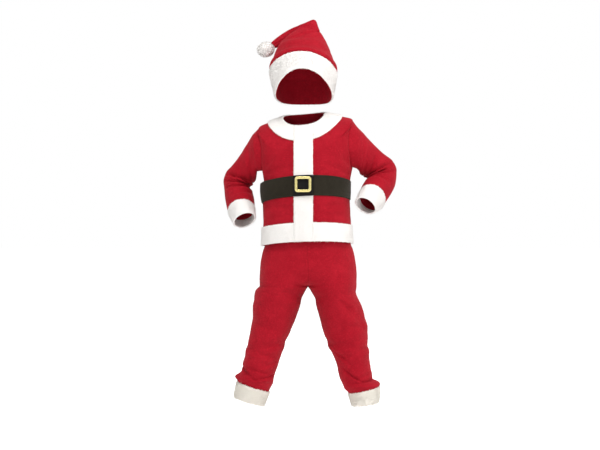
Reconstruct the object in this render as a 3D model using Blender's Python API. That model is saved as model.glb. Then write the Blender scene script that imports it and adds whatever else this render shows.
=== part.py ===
"""A child's santa suit as it is worn: a fleece jacket with plush trims and a felt belt, trousers and a hat.

Lengths below are in millimetres. X runs to the wearer's left, -Y is the front, +Z is up, and the origin is the
centre of the neck opening. Each garment is one smooth outer surface cut into pieces that share its points.
"""

import collections
import math

import bmesh
import bpy
import numpy as np

MM = 0.001

# Driving dimensions
FLEECE = 2.0  # red cloth wall
PLUSH = 5.0  # white cloth with its pile
LEG_PLUSH = 7.0  # the longer pile of the trouser cuffs
FELT = 2.0  # belt
SEAM = 0.19  # each piece stops this far short of its seam
GAP = 0.3  # between a panel and what lies on it
EDGE = 2.6  # height of a plush trim at its rolled edge
PLACKET_HALF = 26.0
BUCKLE_WIDTH = 43.0
BUCKLE_HEIGHT = 41.0
BUCKLE_BAR = 7.0
BUCKLE_DEPTH = 5.0  # front to back
BUCKLE_LIFT = 0.5  # its back clears the curve of the tab
POMPOM_CORE = 17.5
POMPOM_REACH = 22.5

# Body of the jacket: one row for each ring, from the neck down
Ring = collections.namedtuple("Ring", "center_x half_width front back z_front z_side z_back roll corner armhole")
BODY = (
    Ring(2.5, 54, 56, 52, -23, 5, 13, 0.085, 2.4, 15),
    Ring(6, 98, 82, 78, -64, -5, -34, 0.075, 2.2, 19),
    Ring(6, 125, 88, 84, -88, -18, -62, 0.073, 2.8, 20.7),
    Ring(11, 119, 94, 84, -130, -134, -134, 0.045, 2.6, 20.7),
    Ring(11, 114, 97, 82, -154.5, -172, -166, 0.040, 2.4, 30),
    Ring(8.5, 115, 99, 79, -208, -222, -217, 0.045, 2.3, 34),
    Ring(11, 116, 97, 79, -277, -288, -284, 0.032, 2.3, 34),
    Ring(11, 118.5, 96, 80, -326, -335, -332, 0.032, 2.3, 34),
)
NECK, COLLAR_EDGE, SHOULDER, UNDERARM, BELT_TOP, BELT_BOTTOM, BAND_TOP, HEM = range(len(BODY))
BODY_YAW = math.radians(-4.7)
ARMHOLE_CORNER = math.radians(25)  # from the top of the armhole to the first corner of its edge
ARMHOLE_DEPTH = 49.0  # half of it, front to back
ARM_ROWS = 6
ARM_COLUMNS = 2  # from the side seam to the edge of the armhole
PLACKET_COLUMNS = 2  # from centre front to its edge
CHEST_COLUMNS = 4
BACK_COLUMNS = 5
HALF_COLUMNS = PLACKET_COLUMNS + CHEST_COLUMNS + 2 * ARM_COLUMNS + BACK_COLUMNS

# Sleeves: outer and inner edge of the outline seen from the front, and the depth, from the armhole down
Cut = collections.namedtuple("Cut", "outer_x outer_z inner_x inner_z y depth lift")
RIGHT_SLEEVE = (
    Cut(-134, -43, -122, -141, 12, 46, 0),
    Cut(-148, -68, -124, -150, 22, 42, 2),
    Cut(-168, -97, -126, -161, 34, 40, 3),
    Cut(-187, -121, -133, -171, 46, 38, 2),
    Cut(-206, -142, -138.5, -179, 54, 37, 0),
    Cut(-213, -166, -141.5, -184.5, 54, 37, 8),
    Cut(-211, -192, -138, -194, 43, 37, 19),
    Cut(-207, -218, -131, -214, 27, 37, 26),
    Cut(-199, -246, -128, -240, 9, 36, 28),
)
LEFT_SLEEVE = (
    Cut(145, -26, 142, -133, -9, 45, 0),
    Cut(165, -46, 149, -140, -2, 42, 2),
    Cut(188, -70, 152, -147, 9, 40, 3),
    Cut(211, -91, 160, -152.5, 21, 38, 2),
    Cut(238, -111, 167, -156, 31, 38, 0),
    Cut(250.5, -139, 171, -159, 32, 38, 8),
    Cut(248, -168, 168, -168, 22, 38, 19),
    Cut(236, -194, 156, -185, 6, 37, 29),
    Cut(218, -217, 148, -204, -11, 35, 33),
)
RIGHT_CUFF_END = Cut(-182, -279, -126, -263, -20, 28, 18)
LEFT_CUFF_END = Cut(190, -243, 137.5, -223, -39, 27, 19)

# Trousers: the ring round both legs, then each leg's own outline seen from the front
Hip = collections.namedtuple("Hip", "center_x half_width front back z_middle z_side merge")
HIPS = (
    Hip(13, 98, 78, 70, -276, -276, 0.0),
    Hip(13, 107, 84, 73, -302, -303, 0.0),
    Hip(13.5, 112, 88, 75, -331, -332, 0.0),
    Hip(13.5, 121, 90, 79, -356, -357, 0.0),
    Hip(13.5, 126, 90, 82, -388, -388, 0.0),
    Hip(13.5, 128, 94, 89, -420, -416, 0.16),
    Hip(13.2, 128, 95, 91, -436, -431, 0.40),
    Hip(13, 128, 84, 80, -446, -446, 1.0),
)
Leg = collections.namedtuple("Leg", "outer_x outer_z inner_x inner_z front back")
RIGHT_LEG = (
    Leg(-126, -457, 6, -458, 82, 78),
    Leg(-132, -492, -9, -498, 76, 72),
    Leg(-135.5, -545, -29, -551, 68, 63),
    Leg(-147, -594, -49, -602, 62, 57),
    Leg(-154.5, -632, -62, -641, 56, 54),
    Leg(-161, -667, -75, -680, 50, 53),
    Leg(-172, -698, -91, -724, 45, 53),
)
LEFT_LEG = (
    Leg(140, -462, 22, -460, 82, 78),
    Leg(155, -496, 35.5, -498, 76, 72),
    Leg(169, -549, 52, -558, 67, 62),
    Leg(172, -596, 65.5, -601, 61, 57),
    Leg(176, -634, 85, -642, 55, 54),
    Leg(181, -682, 99, -691, 49, 53),
    Leg(197, -711, 122, -729, 45, 53),
)
RIGHT_LEG_CUFF_END = Leg(-180, -740, -106.5, -761, 43, 50)
LEFT_LEG_CUFF_END = Leg(198, -753, 132, -762, 43, 50)
LEG_COLUMNS = 18
LEG_ROWS = 16
Roll = collections.namedtuple("Roll", "row height width")  # cloth bunched above the cuffs
RIGHT_ROLLS = (Roll(12.6, 1.5, 0.7), Roll(14.8, 12.5, 0.65))
LEFT_ROLLS = (Roll(13.3, 2.5, 0.7), Roll(15.2, 11.5, 0.65))

# Hat: centre, half-width and half-depth of each ring, from the lower edge to the tip folded down behind
Loop = collections.namedtuple("Loop", "x y z width_x width_z depth_x depth_y depth_z bow")
HAT = (
    Loop(2.5, -6, 59, 74, 0, -5, -88, 40, 23),
    Loop(0, -6, 120, 86.5, -4, 0, -88, 32, 14),
    Loop(0.5, -4, 146, 81, -2, 0, -76, 26, 7),
    Loop(0, 0, 178, 71, -1, 0, -61, 19, 3),
    Loop(0.5, 2, 201, 59.5, 1, 0, -44, 10, 0),
    Loop(7, 2, 219, 45, -1, 0, -27, 8, 0),
    Loop(15.5, 3, 233, 29.5, -4, 0, -14, 5, 0),
    Loop(21, 5, 241, 22, -6, 1, -9, 7, 0),
    Loop(27.5, 14, 248.8, 9, -6, 5, 0, 12, 0),
    Loop(15, 29, 242, 15, -11, 2, 8, 5, 0),
    Loop(-6, 38, 232, 12, -15, 0, 9, 2, 0),
    Loop(-30, 44, 224, 9.5, -14.5, 0, 9, 0, 0),
    Loop(-54, 40, 212, 7, -12, -1, 8.5, 0, 0),
    Loop(-70, 32, 202, 5.5, -10, -2, 7.5, 0, 0),
    Loop(-81.4, 25.8, 195.1, 4, -7, -1, 5, 0, 0),
)
HAT_COLUMNS = 26
HAT_BRIM_ROW = 1
POMPOM = (-99.0, 20.0, 184.0)
POMPOM_GRID = 5

WAISTBAND_GATHERS = 24
WAISTBAND_HEIGHT = 26.0

# Largest folds: where, which way, how long, wide and deep; a negative depth stands up as a ridge
Fold = collections.namedtuple("Fold", "x z angle length width depth")
FRONT_FOLDS = (
    Fold(-86, -108, 62, 40, 9, 2.5),
    Fold(106, -96, -64, 42, 9, 2.8),
    Fold(-72, -142, 16, 36, 8, 2.2),
    Fold(86, -136, -18, 36, 8, 2.2),
    Fold(-70, -238, -14, 38, 9, 2.2),
    Fold(88, -234, 16, 38, 9, 2.4),
    Fold(-58, -262, 8, 34, 7, 1.8),
    Fold(70, -258, -6, 36, 7, 1.8),
)
BACK_FOLDS = (
    Fold(-70, -110, -60, 42, 10, 2.5),
    Fold(92, -104, 60, 42, 10, 2.5),
    Fold(10, -140, 4, 60, 9, 2.0),
    Fold(-40, -240, 10, 40, 9, 2.2),
    Fold(66, -246, -12, 44, 9, 2.2),
)
# On a tube: down its length in rows, round it in degrees from the outer edge, over the front
Crease = collections.namedtuple("Crease", "row turn slope reach width depth")
SLEEVE_CREASES = (
    Crease(2.6, 150, 0.014, 70, 0.30, 3.0),
    Crease(3.9, 140, 0.013, 80, 0.32, 3.6),
    Crease(4.9, 145, 0.004, 85, 0.30, 4.2),
    Crease(5.9, 140, -0.010, 70, 0.28, 3.6),
    Crease(3.4, 230, -0.012, 60, 0.32, 2.6),
    Crease(5.3, 235, 0.006, 60, 0.30, 2.8),
)
LEG_CREASES = (
    Crease(3.2, 150, 0.010, 60, 0.60, 3.0),
    Crease(6.8, 60, 0.012, 70, 0.50, 3.0),
    Crease(9.1, 120, -0.010, 80, 0.50, 3.6),
    Crease(10.2, 60, 0.010, 70, 0.45, 3.2),
    Crease(5.2, 250, 0.010, 70, 0.60, 3.0),
    Crease(9.6, 270, -0.006, 80, 0.50, 3.4),
)

RED = (0.46, 0.012, 0.028)
WHITE = (0.92, 0.90, 0.85)
CREAM = (0.88, 0.84, 0.74)
BLACK = (0.020, 0.017, 0.012)
TAB_BLACK = (0.008, 0.008, 0.008)
GOLD = (0.75, 0.62, 0.22)


def through(rows, at):
    """The columns of a table of rows, read at any row number on a smooth curve that never overshoots."""
    table = np.array(rows, float)
    steps = np.diff(table, axis=0)
    slopes = np.zeros_like(table)
    before, after = steps[:-1], steps[1:]
    same_way = before * after > 0
    total = np.where(same_way, before + after, 1.0)
    slopes[1:-1] = np.where(same_way, 2 * before * after / total, 0.0)
    slopes[0], slopes[-1] = steps[0], steps[-1]
    i = min(int(math.floor(at)), len(table) - 2)
    f = at - i
    rise = f * f * (3 - 2 * f)
    start = table[i] * (1 - rise) + table[i + 1] * rise
    return start + slopes[i] * f * (1 - f) ** 2 - slopes[i + 1] * f * f * (1 - f)


class Surface:
    """An outer surface of shared points and four-sided faces."""

    def __init__(self):
        self.points = []
        self.faces = []

    def add(self, point):
        self.points.append(np.array(point, float))
        return len(self.points) - 1

    def face(self, *corners):
        """Adds one face and returns its triangles, split along the shorter diagonal."""
        ring = [c for i, c in enumerate(corners) if c != corners[i - 1]]
        if len(ring) == 3:
            made = [tuple(ring)]
        else:
            a, b, c, d = ring
            across = np.linalg.norm(self.points[a] - self.points[c])
            other = np.linalg.norm(self.points[b] - self.points[d])
            made = [(a, b, c), (a, c, d)] if across <= other else [(a, b, d), (b, c, d)]
        self.faces += made
        return made

    def normals(self):
        points = np.array(self.points)
        faces = np.array(self.faces)
        corners = points[faces]
        flat = np.cross(corners[:, 1] - corners[:, 0], corners[:, 2] - corners[:, 0])
        total = np.zeros_like(points)
        for corner in range(3):
            np.add.at(total, faces[:, corner], flat)
        size = np.linalg.norm(total, axis=1, keepdims=True)
        return total / np.where(size > 0, size, 1)


def material(name, color, roughness, metallic=0.0):
    made = bpy.data.materials.new(name)
    made.use_nodes = True
    shader = made.node_tree.nodes["Principled BSDF"]
    shader.inputs["Base Color"].default_value = (*color, 1)
    shader.inputs["Roughness"].default_value = roughness
    shader.inputs["Metallic"].default_value = metallic
    made.diffuse_color = (*color, 1)
    return made


def put(name, points, faces, finish, smooth=True):
    """Makes the named object from points in millimetres and turns its faces outwards."""
    mesh = bpy.data.meshes.new(name)
    points = np.array(points)
    faces = [tuple(int(c) for c in face) for face in faces]
    mesh.from_pydata([tuple(p) for p in points * MM], [], faces)
    made = bmesh.new()
    made.from_mesh(mesh)
    if made.calc_volume(signed=True) < 0:
        bmesh.ops.reverse_faces(made, faces=made.faces)
    made.to_mesh(mesh)
    made.free()
    if smooth:
        mesh.shade_smooth()
        mesh.set_sharp_from_angle(angle=math.radians(50))
    mesh.materials.append(finish)
    piece = bpy.data.objects.new(name, mesh)
    suit.objects.link(piece)
    return piece


def seam_pull(points, normals, faces, edges):
    """How far each point of a piece's edge moves back from its seams, square to them."""
    inward = collections.defaultdict(list)
    third = {}
    for face in faces:
        for i in range(3):
            third[(face[i], face[(i + 1) % 3])] = face[(i + 2) % 3]
    for a, b in edges:
        along = points[b] - points[a]
        along /= np.linalg.norm(along)
        way = np.cross(normals[a] + normals[b], along)
        way /= np.linalg.norm(way)
        if way @ (points[third[(a, b)]] - points[a]) < 0:
            way = -way
        inward[a].append(way)
        inward[b].append(way)
    moves = {}
    for point, ways in inward.items():
        total = sum(ways)
        size = float(total @ total)
        count = len(ways)
        moves[point] = SEAM * total * min(count / max(size, 0.3), 2.5)
    return moves


def cloth(name, surface, faces, low, high, finish, rim_high=None):
    """One piece of cloth: a wall over these faces, from low to high along the surface's normals."""
    points = np.array(surface.points)
    normals = surface.normals()
    directed = {(f[i], f[(i + 1) % 3]) for f in faces for i in range(3)}
    edges = [(a, b) for a, b in directed if (b, a) not in directed]
    moves = seam_pull(points, normals, faces, edges)
    used = sorted({c for face in faces for c in face})
    index = {old: new for new, old in enumerate(used)}
    outer, inner = [], []
    for old in used:
        place = points[old] + moves.get(old, 0)
        top = rim_high if rim_high is not None and old in moves else high
        outer.append(place + normals[old] * top)
        inner.append(place + normals[old] * low)
    count = len(used)
    made = [tuple(index[c] for c in face) for face in faces]
    made += [tuple(index[c] + count for c in reversed(face)) for face in faces]
    for a, b in sorted(edges):
        i, j = index[a], index[b]
        made += [(j, i, i + count), (j, i + count, j + count)]
    return put(name, outer + inner, made, finish)


def strip(surface, upper, lower, closed=False):
    """Faces between two rows of points."""
    count = len(upper)
    made = []
    for i in range(count if closed else count - 1):
        j = (i + 1) % count
        made += surface.face(upper[i], lower[i], lower[j], upper[j])
    return made


def power(value, exponent):
    return math.copysign(abs(value) ** exponent, value)


def fold_depth(folds, x, z):
    total = 0.0
    for fold in folds:
        turn = math.radians(fold.angle)
        along = (x - fold.x) * math.cos(turn) + (z - fold.z) * math.sin(turn)
        across = (z - fold.z) * math.cos(turn) - (x - fold.x) * math.sin(turn)
        shape = math.exp(-((across / fold.width) ** 2)) - 0.45 * math.exp(
            -(((across - 1.9 * fold.width) / fold.width) ** 2)
        )
        total += fold.depth * shape * math.exp(-((along / fold.length) ** 4))
    return total


def body_angle(column, ring, edge_y):
    """Angle round the body from centre front to a column of one half, 0 at the front and pi at the back."""
    sharp = ring.corner / 2
    placket = math.asin((PLACKET_HALF / ring.half_width) ** sharp)
    front_edge = math.acos(min(edge_y / ring.front, 1) ** sharp)
    back_edge = math.pi - math.acos(min(edge_y / ring.back, 1) ** sharp)
    stops = np.cumsum([0, PLACKET_COLUMNS, CHEST_COLUMNS, ARM_COLUMNS, ARM_COLUMNS, BACK_COLUMNS])
    return float(np.interp(column, stops, [0, placket, front_edge, math.pi / 2, back_edge, math.pi]))


def body_point(column, row):
    """A point of the jacket's body: columns run round it from centre front to the wearer's left."""
    ring = Ring(*through(BODY, row))
    half = column % (2 * HALF_COLUMNS)
    side = 1 if half <= HALF_COLUMNS else -1
    half = half if side > 0 else 2 * HALF_COLUMNS - half
    edge_y, z_side = ring.armhole, ring.z_side
    if SHOULDER < row < UNDERARM:
        turn = ARMHOLE_CORNER + (math.pi - 2 * ARMHOLE_CORNER) * (row - SHOULDER)
        edge_y = ARMHOLE_DEPTH * math.sin(turn)
        share = edge_y / ring.front
        top, bottom = BODY[SHOULDER], BODY[UNDERARM]
        edge_top = top.z_side - 4
        edge_z = edge_top + (bottom.z_side - edge_top) * (1 - math.cos(turn) / math.cos(ARMHOLE_CORNER)) / 2
        middle = (ring.z_front + ring.z_back) / 2
        lean = (ring.z_back - ring.z_front) / 2
        z_side = (edge_z + lean * share - middle * share**2) / (1 - share**2)
    angle = body_angle(half, ring, edge_y)
    depth = -power(math.cos(angle), 2 / ring.corner)
    local_x = side * ring.half_width * abs(math.sin(angle)) ** (2 / ring.corner)
    local_y = depth * (ring.front if depth < 0 else ring.back)
    x = ring.center_x + local_x * math.cos(BODY_YAW) - local_y * math.sin(BODY_YAW)
    y = local_x * math.sin(BODY_YAW) + local_y * math.cos(BODY_YAW)
    z = z_side * (1 - depth**2) + (ring.z_front + ring.z_back) / 2 * depth**2
    z += (ring.z_back - ring.z_front) / 2 * depth + ring.roll * (x - ring.center_x)
    in_by = fold_depth(FRONT_FOLDS if depth < 0 else BACK_FOLDS, x, z) * min(1, 2 * abs(depth))
    away = np.array([local_x / ring.half_width, depth, 0.0])
    return np.array([x, y, z]) - in_by * away / np.linalg.norm(away)


def body_rows():
    spans = (
        (NECK, (0, 0.2, 0.8)),
        (COLLAR_EDGE, (0, 0.5)),
        (SHOULDER, np.arange(ARM_ROWS) / ARM_ROWS),
        (UNDERARM, (0, 0.33, 0.67)),
        (BELT_TOP, (0, 0.5)),
        (BELT_BOTTOM, (0, 0.2, 0.4, 0.6, 0.8)),
        (BAND_TOP, (0, 0.2, 0.8, 1)),
    )
    return [start + share for start, shares in spans for share in shares]


def make_jacket(finishes):
    surface = Surface()
    rows = body_rows()
    columns = 2 * HALF_COLUMNS
    first_arm = PLACKET_COLUMNS + CHEST_COLUMNS
    last_arm = first_arm + 2 * ARM_COLUMNS
    arms = {"left": (first_arm, last_arm), "right": (columns - last_arm, columns - first_arm)}
    hole_rows = [i for i, row in enumerate(rows) if SHOULDER < row < UNDERARM]
    grid = {}
    for i, row in enumerate(rows):
        for j in range(columns):
            if i in hole_rows and any(a < j < b for a, b in arms.values()):
                continue
            grid[i, j] = surface.add(body_point(j, row))

    def cells(keep):
        return [(i, j) for i in range(len(rows) - 1) for j in range(columns) if keep(rows[i], j)]

    def in_hole(row, j):
        return SHOULDER <= row < UNDERARM - 0.01 and any(a <= j < b for a, b in arms.values())

    made = {}
    for i, j in cells(lambda row, j: not in_hole(row, j)):
        k = (j + 1) % columns
        made[i, j] = surface.face(grid[i, j], grid[i + 1, j], grid[i + 1, k], grid[i, k])

    loops = {}
    top, bottom = hole_rows[0] - 1, hole_rows[-1] + 1
    middle_rows = list(range(top, bottom + 1))
    for side, (a, b) in arms.items():
        front, back = (a, b) if side == "left" else (b, a)
        step = 1 if back > front else -1
        centre = (a + b) // 2
        over = [(top, j) for j in range(centre, front, -step)]
        down = [(i, front) for i in middle_rows]
        under = [(bottom, j) for j in range(front + step, back, step)]
        up = [(i, back) for i in reversed(middle_rows)]
        rest = [(top, j) for j in range(back - step, centre, -step)]
        loops[side] = [grid[key] for key in over + down + under + up + rest]
    sleeves = {side: make_sleeve(surface, loops[side], side) for side in loops}

    def panel(keep):
        return [face for key, faces in made.items() if keep(rows[key[0]], key[1]) for face in faces]

    side_left, side_right = first_arm + ARM_COLUMNS, columns - first_arm - ARM_COLUMNS
    placket = {j % columns for j in range(-PLACKET_COLUMNS, PLACKET_COLUMNS)}
    red = finishes["red"]
    cloth("jacket_front_left", surface, panel(lambda row, j: j < side_left), -FLEECE, 0, red)
    cloth("jacket_back", surface, panel(lambda row, j: side_left <= j < side_right), -FLEECE, 0, red)
    cloth("jacket_front_right", surface, panel(lambda row, j: j >= side_right), -FLEECE, 0, red)
    trims = {
        "collar": (NECK, COLLAR_EDGE, PLUSH, finishes["white"]),
        "hem_band": (BAND_TOP, HEM, PLUSH, finishes["white"]),
        "belt": (BELT_TOP, BELT_BOTTOM, FELT, finishes["black"]),
    }
    for name, (start, end, thick, finish) in trims.items():
        faces = panel(lambda row, j: start <= row < end - 0.01 and j not in placket)
        rim = GAP + EDGE if thick == PLUSH else None
        cloth(name, surface, faces, GAP, GAP + thick, finish, rim)
    on_placket = GAP + PLUSH + 0.5
    strip_faces = panel(lambda row, j: j in placket)
    cloth("placket", surface, strip_faces, GAP, on_placket, finishes["white"], GAP + EDGE + 0.5)
    tab = panel(lambda row, j: j in placket and BELT_TOP <= row < BELT_BOTTOM - 0.01)
    cloth("belt_tab", surface, tab, on_placket + GAP, on_placket + GAP + FELT, finishes["tab"])
    for side, (faces, cuff) in sleeves.items():
        cloth("sleeve_" + side, surface, faces, -FLEECE, 0, red)
        cloth("sleeve_cuff_" + side, surface, cuff, -FLEECE, PLUSH - FLEECE, finishes["white"], 1.0)
    face_at = (BELT_TOP + BELT_BOTTOM) / 2
    make_buckle(body_point(0, face_at), on_placket + GAP + FELT, finishes["gold"])


def arm_turns():
    """Angles round a sleeve from its outer edge over the front, matching the points of the armhole."""
    corner = math.degrees(ARMHOLE_CORNER)
    down = [corner + (180 - 2 * corner) * i / ARM_ROWS for i in range(ARM_ROWS + 1)]
    half = [corner * i / ARM_COLUMNS for i in range(ARM_COLUMNS)] + down
    half += [180 - corner + corner * i / ARM_COLUMNS for i in range(1, ARM_COLUMNS + 1)]
    return half + [360 - turn for turn in reversed(half[1:-1])]


def crease_depth(creases, row, turn):
    total = 0.0
    for crease in creases:
        off = (turn - crease.turn + 180) % 360 - 180
        across = (row - crease.row - crease.slope * off) / crease.width
        shape = math.exp(-(across**2)) - 0.5 * math.exp(-((across - 1.9) ** 2))
        total += crease.depth * shape * math.exp(-((off / crease.reach) ** 4))
    return total


def cut_point(cut, turn, creases=(), row=0.0):
    """A point of a sleeve's ring; turn is in degrees from its outer edge over the front."""
    angle = math.radians(turn)
    outer = np.array([cut.outer_x, cut.y, cut.outer_z])
    inner = np.array([cut.inner_x, cut.y, cut.inner_z])
    centre, across = (outer + inner) / 2, (outer - inner) / 2
    toward = np.array([0, -cut.depth, cut.lift])
    place = centre + across * math.cos(angle) + toward * math.sin(angle)
    away = (place - centre) / np.linalg.norm(place - centre)
    return place - crease_depth(creases, row, turn) * away


def make_sleeve(surface, loop, side):
    table = RIGHT_SLEEVE if side == "right" else LEFT_SLEEVE
    cuff_table = (table[-1], RIGHT_CUFF_END if side == "right" else LEFT_CUFF_END)
    turns = arm_turns()
    ring, faces = loop, []
    last = len(table) - 1
    rows = [0] + [0.75 * i for i in range(1, int(last / 0.75) + 1)]
    rows += [last] if rows[-1] < last - 0.2 else []
    for row in rows:
        cut = Cut(*through(table, row))
        below = [surface.add(cut_point(cut, turn, SLEEVE_CREASES, row)) for turn in turns]
        faces += strip(surface, ring, below, closed=True)
        ring = below
    cuff_faces = []
    for share in (0.2, 0.8, 1):
        cut = Cut(*through(cuff_table, share))
        below = [surface.add(cut_point(cut, turn)) for turn in turns]
        cuff_faces += strip(surface, ring, below, closed=True)
        ring = below
    if side == "left":
        return turned(surface, faces), turned(surface, cuff_faces)
    return faces, cuff_faces


def turned(surface, faces):
    """Turns these faces of the surface over."""
    over = set(faces)
    surface.faces = [face[::-1] if face in over else face for face in surface.faces]
    return [face[::-1] for face in faces]


def make_buckle(place, height, finish):
    """A frame with rounded corners and a rounded section, lying on the tab."""
    way = np.array([math.sin(BODY_YAW), -math.cos(BODY_YAW), 0.0])
    centre = place + way * (height + BUCKLE_LIFT + BUCKLE_DEPTH / 2)
    right = np.array([math.cos(BODY_YAW), math.sin(BODY_YAW), 0.0])
    corner = 8.0 - BUCKLE_BAR / 2
    reach_x, reach_z = (BUCKLE_WIDTH - BUCKLE_BAR) / 2 - corner, (BUCKLE_HEIGHT - BUCKLE_BAR) / 2 - corner
    path, outs = [], []
    for quarter, (sx, sz) in enumerate(((1, 1), (-1, 1), (-1, -1), (1, -1))):
        for step in range(4):
            angle = math.radians(90 * quarter + 30 * step)
            out = math.cos(angle) * right + np.array([0, 0, math.sin(angle)])
            path.append(centre + sx * reach_x * right + np.array([0, 0, sz * reach_z]) + out * corner)
            outs.append(out)
    surface = Surface()
    rings = []
    for point, out in zip(path, outs):
        ring = []
        for side in range(8):
            angle = math.radians(45 * side + 22.5)
            section = BUCKLE_BAR / 2 * math.cos(angle) * out + BUCKLE_DEPTH / 2 * math.sin(angle) * way
            ring.append(surface.add(point + section))
        rings.append(ring)
    faces = []
    for a, b in zip(rings, rings[1:] + rings[:1]):
        faces += strip(surface, a, b, closed=True)
    put("buckle", surface.points, faces, finish)


def hip_point(t, row, side):
    """A point above the crotch: t runs from centre front round the hip to centre back."""
    hip = Hip(*through(HIPS, row))
    angle = math.pi * t
    depth = -math.cos(angle)
    ring_x = hip.half_width * math.sin(angle) ** 0.87
    ring_y = power(depth, 0.87) * (hip.front if depth < 0 else hip.back)
    leg_x = hip.half_width * (1 - math.cos(2 * angle)) / 2
    leg_y = -math.sin(2 * angle) * (hip.front if t < 0.5 else hip.back)
    x = ring_x * (1 - hip.merge) + leg_x * hip.merge
    y = ring_y * (1 - hip.merge) + leg_y * hip.merge
    z = hip.z_middle + (hip.z_side - hip.z_middle) * x / hip.half_width
    turn = BODY_YAW * max(0, 1 - row / 5)
    across, along = math.cos(turn), math.sin(turn)
    return np.array([hip.center_x + side * x * across - y * along, side * x * along + y * across, z])


def leg_ring(leg, t):
    angle = 2 * math.pi * t
    centre_x, across = (leg.outer_x + leg.inner_x) / 2, (leg.inner_x - leg.outer_x) / 2
    centre_z, rise = (leg.outer_z + leg.inner_z) / 2, (leg.inner_z - leg.outer_z) / 2
    depth = leg.front if t < 0.5 else leg.back
    return np.array(
        [centre_x + across * math.cos(angle), -depth * math.sin(angle), centre_z + rise * math.cos(angle)]
    )


def leg_table(side):
    table = RIGHT_LEG if side < 0 else LEFT_LEG
    crotch = HIPS[-1]
    top = Leg(
        crotch.center_x + side * crotch.half_width, crotch.z_side, crotch.center_x, crotch.z_middle,
        crotch.front, crotch.back,
    )
    return (top,) + table


def leg_point(t, share, side):
    """A point of one leg: share runs from 0 at the crotch to 1 at its lower edge."""
    table = leg_table(side)
    leg = Leg(*through(table, share * (len(table) - 1)))
    place = leg_ring(leg, t)
    row = share * LEG_ROWS
    turn = (180 - 360 * t) % 360
    ends = min(1, 4 * share)
    out_by = -crease_depth(LEG_CREASES, row, turn) * ends
    for roll in RIGHT_ROLLS if side < 0 else LEFT_ROLLS:
        lean = 0.2 * math.sin(4 * math.pi * t + roll.row)
        height = roll.height * (0.68 - 0.32 * math.cos(2 * math.pi * t))
        out_by += height * math.exp(-(((row - roll.row - lean) / roll.width) ** 2))
    middle = np.array([(leg.outer_x + leg.inner_x) / 2, 0, place[2]])
    away = place - middle
    return place + out_by * away / max(np.linalg.norm(away), 1)


def make_trousers(finishes):
    surface = Surface()
    half = LEG_COLUMNS // 2
    hip_rows = [0, 1, 2, 2.5, 3, 4, 5, 6, 7]
    leg_rows = [i / LEG_ROWS for i in range(1, LEG_ROWS + 1)]
    shared, panels, cuffs = {}, {}, {}
    for side, word in ((1, "left"), (-1, "right")):
        grid = []
        for row in hip_rows:
            ids = []
            for j in range(LEG_COLUMNS + 1):
                middle = j in (0, LEG_COLUMNS)
                key = (row, j if row < len(HIPS) - 1 else 0) if middle else None
                if key is None or key not in shared:
                    made = surface.add(hip_point(j / LEG_COLUMNS, row, side))
                    if key is not None:
                        shared[key] = made
                ids.append(made if key is None else shared[key])
            grid.append(ids)
        for share in leg_rows:
            ids = [surface.add(leg_point(j / LEG_COLUMNS, share, side)) for j in range(LEG_COLUMNS)]
            grid.append(ids + ids[:1])
        for part, a, b in (("front", 0, half), ("back", half, LEG_COLUMNS)):
            faces = []
            for upper, lower in zip(grid, grid[1:]):
                faces += strip(surface, upper[a : b + 1], lower[a : b + 1])
            panels[f"trousers_{part}_{word}"] = turned(surface, faces) if side < 0 else faces
        cuffs["leg_cuff_" + word] = make_leg_cuff(surface, grid[-1][:-1], side)
    for name, faces in panels.items():
        cloth(name, surface, faces, -FLEECE, 0, finishes["red"])
    for name, faces in cuffs.items():
        cloth(name, surface, faces, -FLEECE, LEG_PLUSH - FLEECE, finishes["cream"], 0.8)
    make_waistband(finishes["red"])


def make_leg_cuff(surface, ring, side):
    end = RIGHT_LEG_CUFF_END if side < 0 else LEFT_LEG_CUFF_END
    turns = [j / LEG_COLUMNS for j in range(LEG_COLUMNS)]
    faces = []
    for share in (0.2, 0.8, 1):
        places = [leg_point(t, 1, side) * (1 - share) + leg_ring(end, t) * share for t in turns]
        below = [surface.add(place) for place in places]
        faces += strip(surface, ring, below, closed=True)
        ring = below
    return turned(surface, faces) if side < 0 else faces


def make_waistband(finish):
    """The elastic casing, gathered in even waves."""
    surface = Surface()
    hip = HIPS[0]
    rings = []
    for share in (0, 0.5, 1):
        ring = []
        for step in range(2 * WAISTBAND_GATHERS):
            angle = math.pi * step / WAISTBAND_GATHERS
            wave = 1.4 if step % 2 else -1.4
            depth = -math.cos(angle)
            x = (hip.half_width - 2 + wave) * power(math.sin(angle), 0.87)
            y = power(depth, 0.87) * ((hip.front if depth < 0 else hip.back) - 2 + wave)
            z = hip.z_middle + 0.6 + WAISTBAND_HEIGHT * (1 - share)
            ring.append(surface.add((hip.center_x + x, y, z)))
        rings.append(ring)
    faces = [f for a, b in zip(rings, rings[1:]) for f in strip(surface, a, b, closed=True)]
    cloth("waistband", surface, faces, -FLEECE, 0.6, finish, 0.0)


def hat_point(turn, row):
    """A point of the hat: turn is in degrees from the wearer's left over the front."""
    loop = Loop(*through(HAT, row))
    angle = math.radians(turn)
    wide = np.array([loop.width_x, 0, loop.width_z])
    deep = np.array([loop.depth_x, loop.depth_y, loop.depth_z])
    bow = np.array([0, 0, loop.bow * math.sin(angle) ** 2])
    return np.array([loop.x, loop.y, loop.z]) + wide * math.cos(angle) + deep * math.sin(angle) + bow


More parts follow.
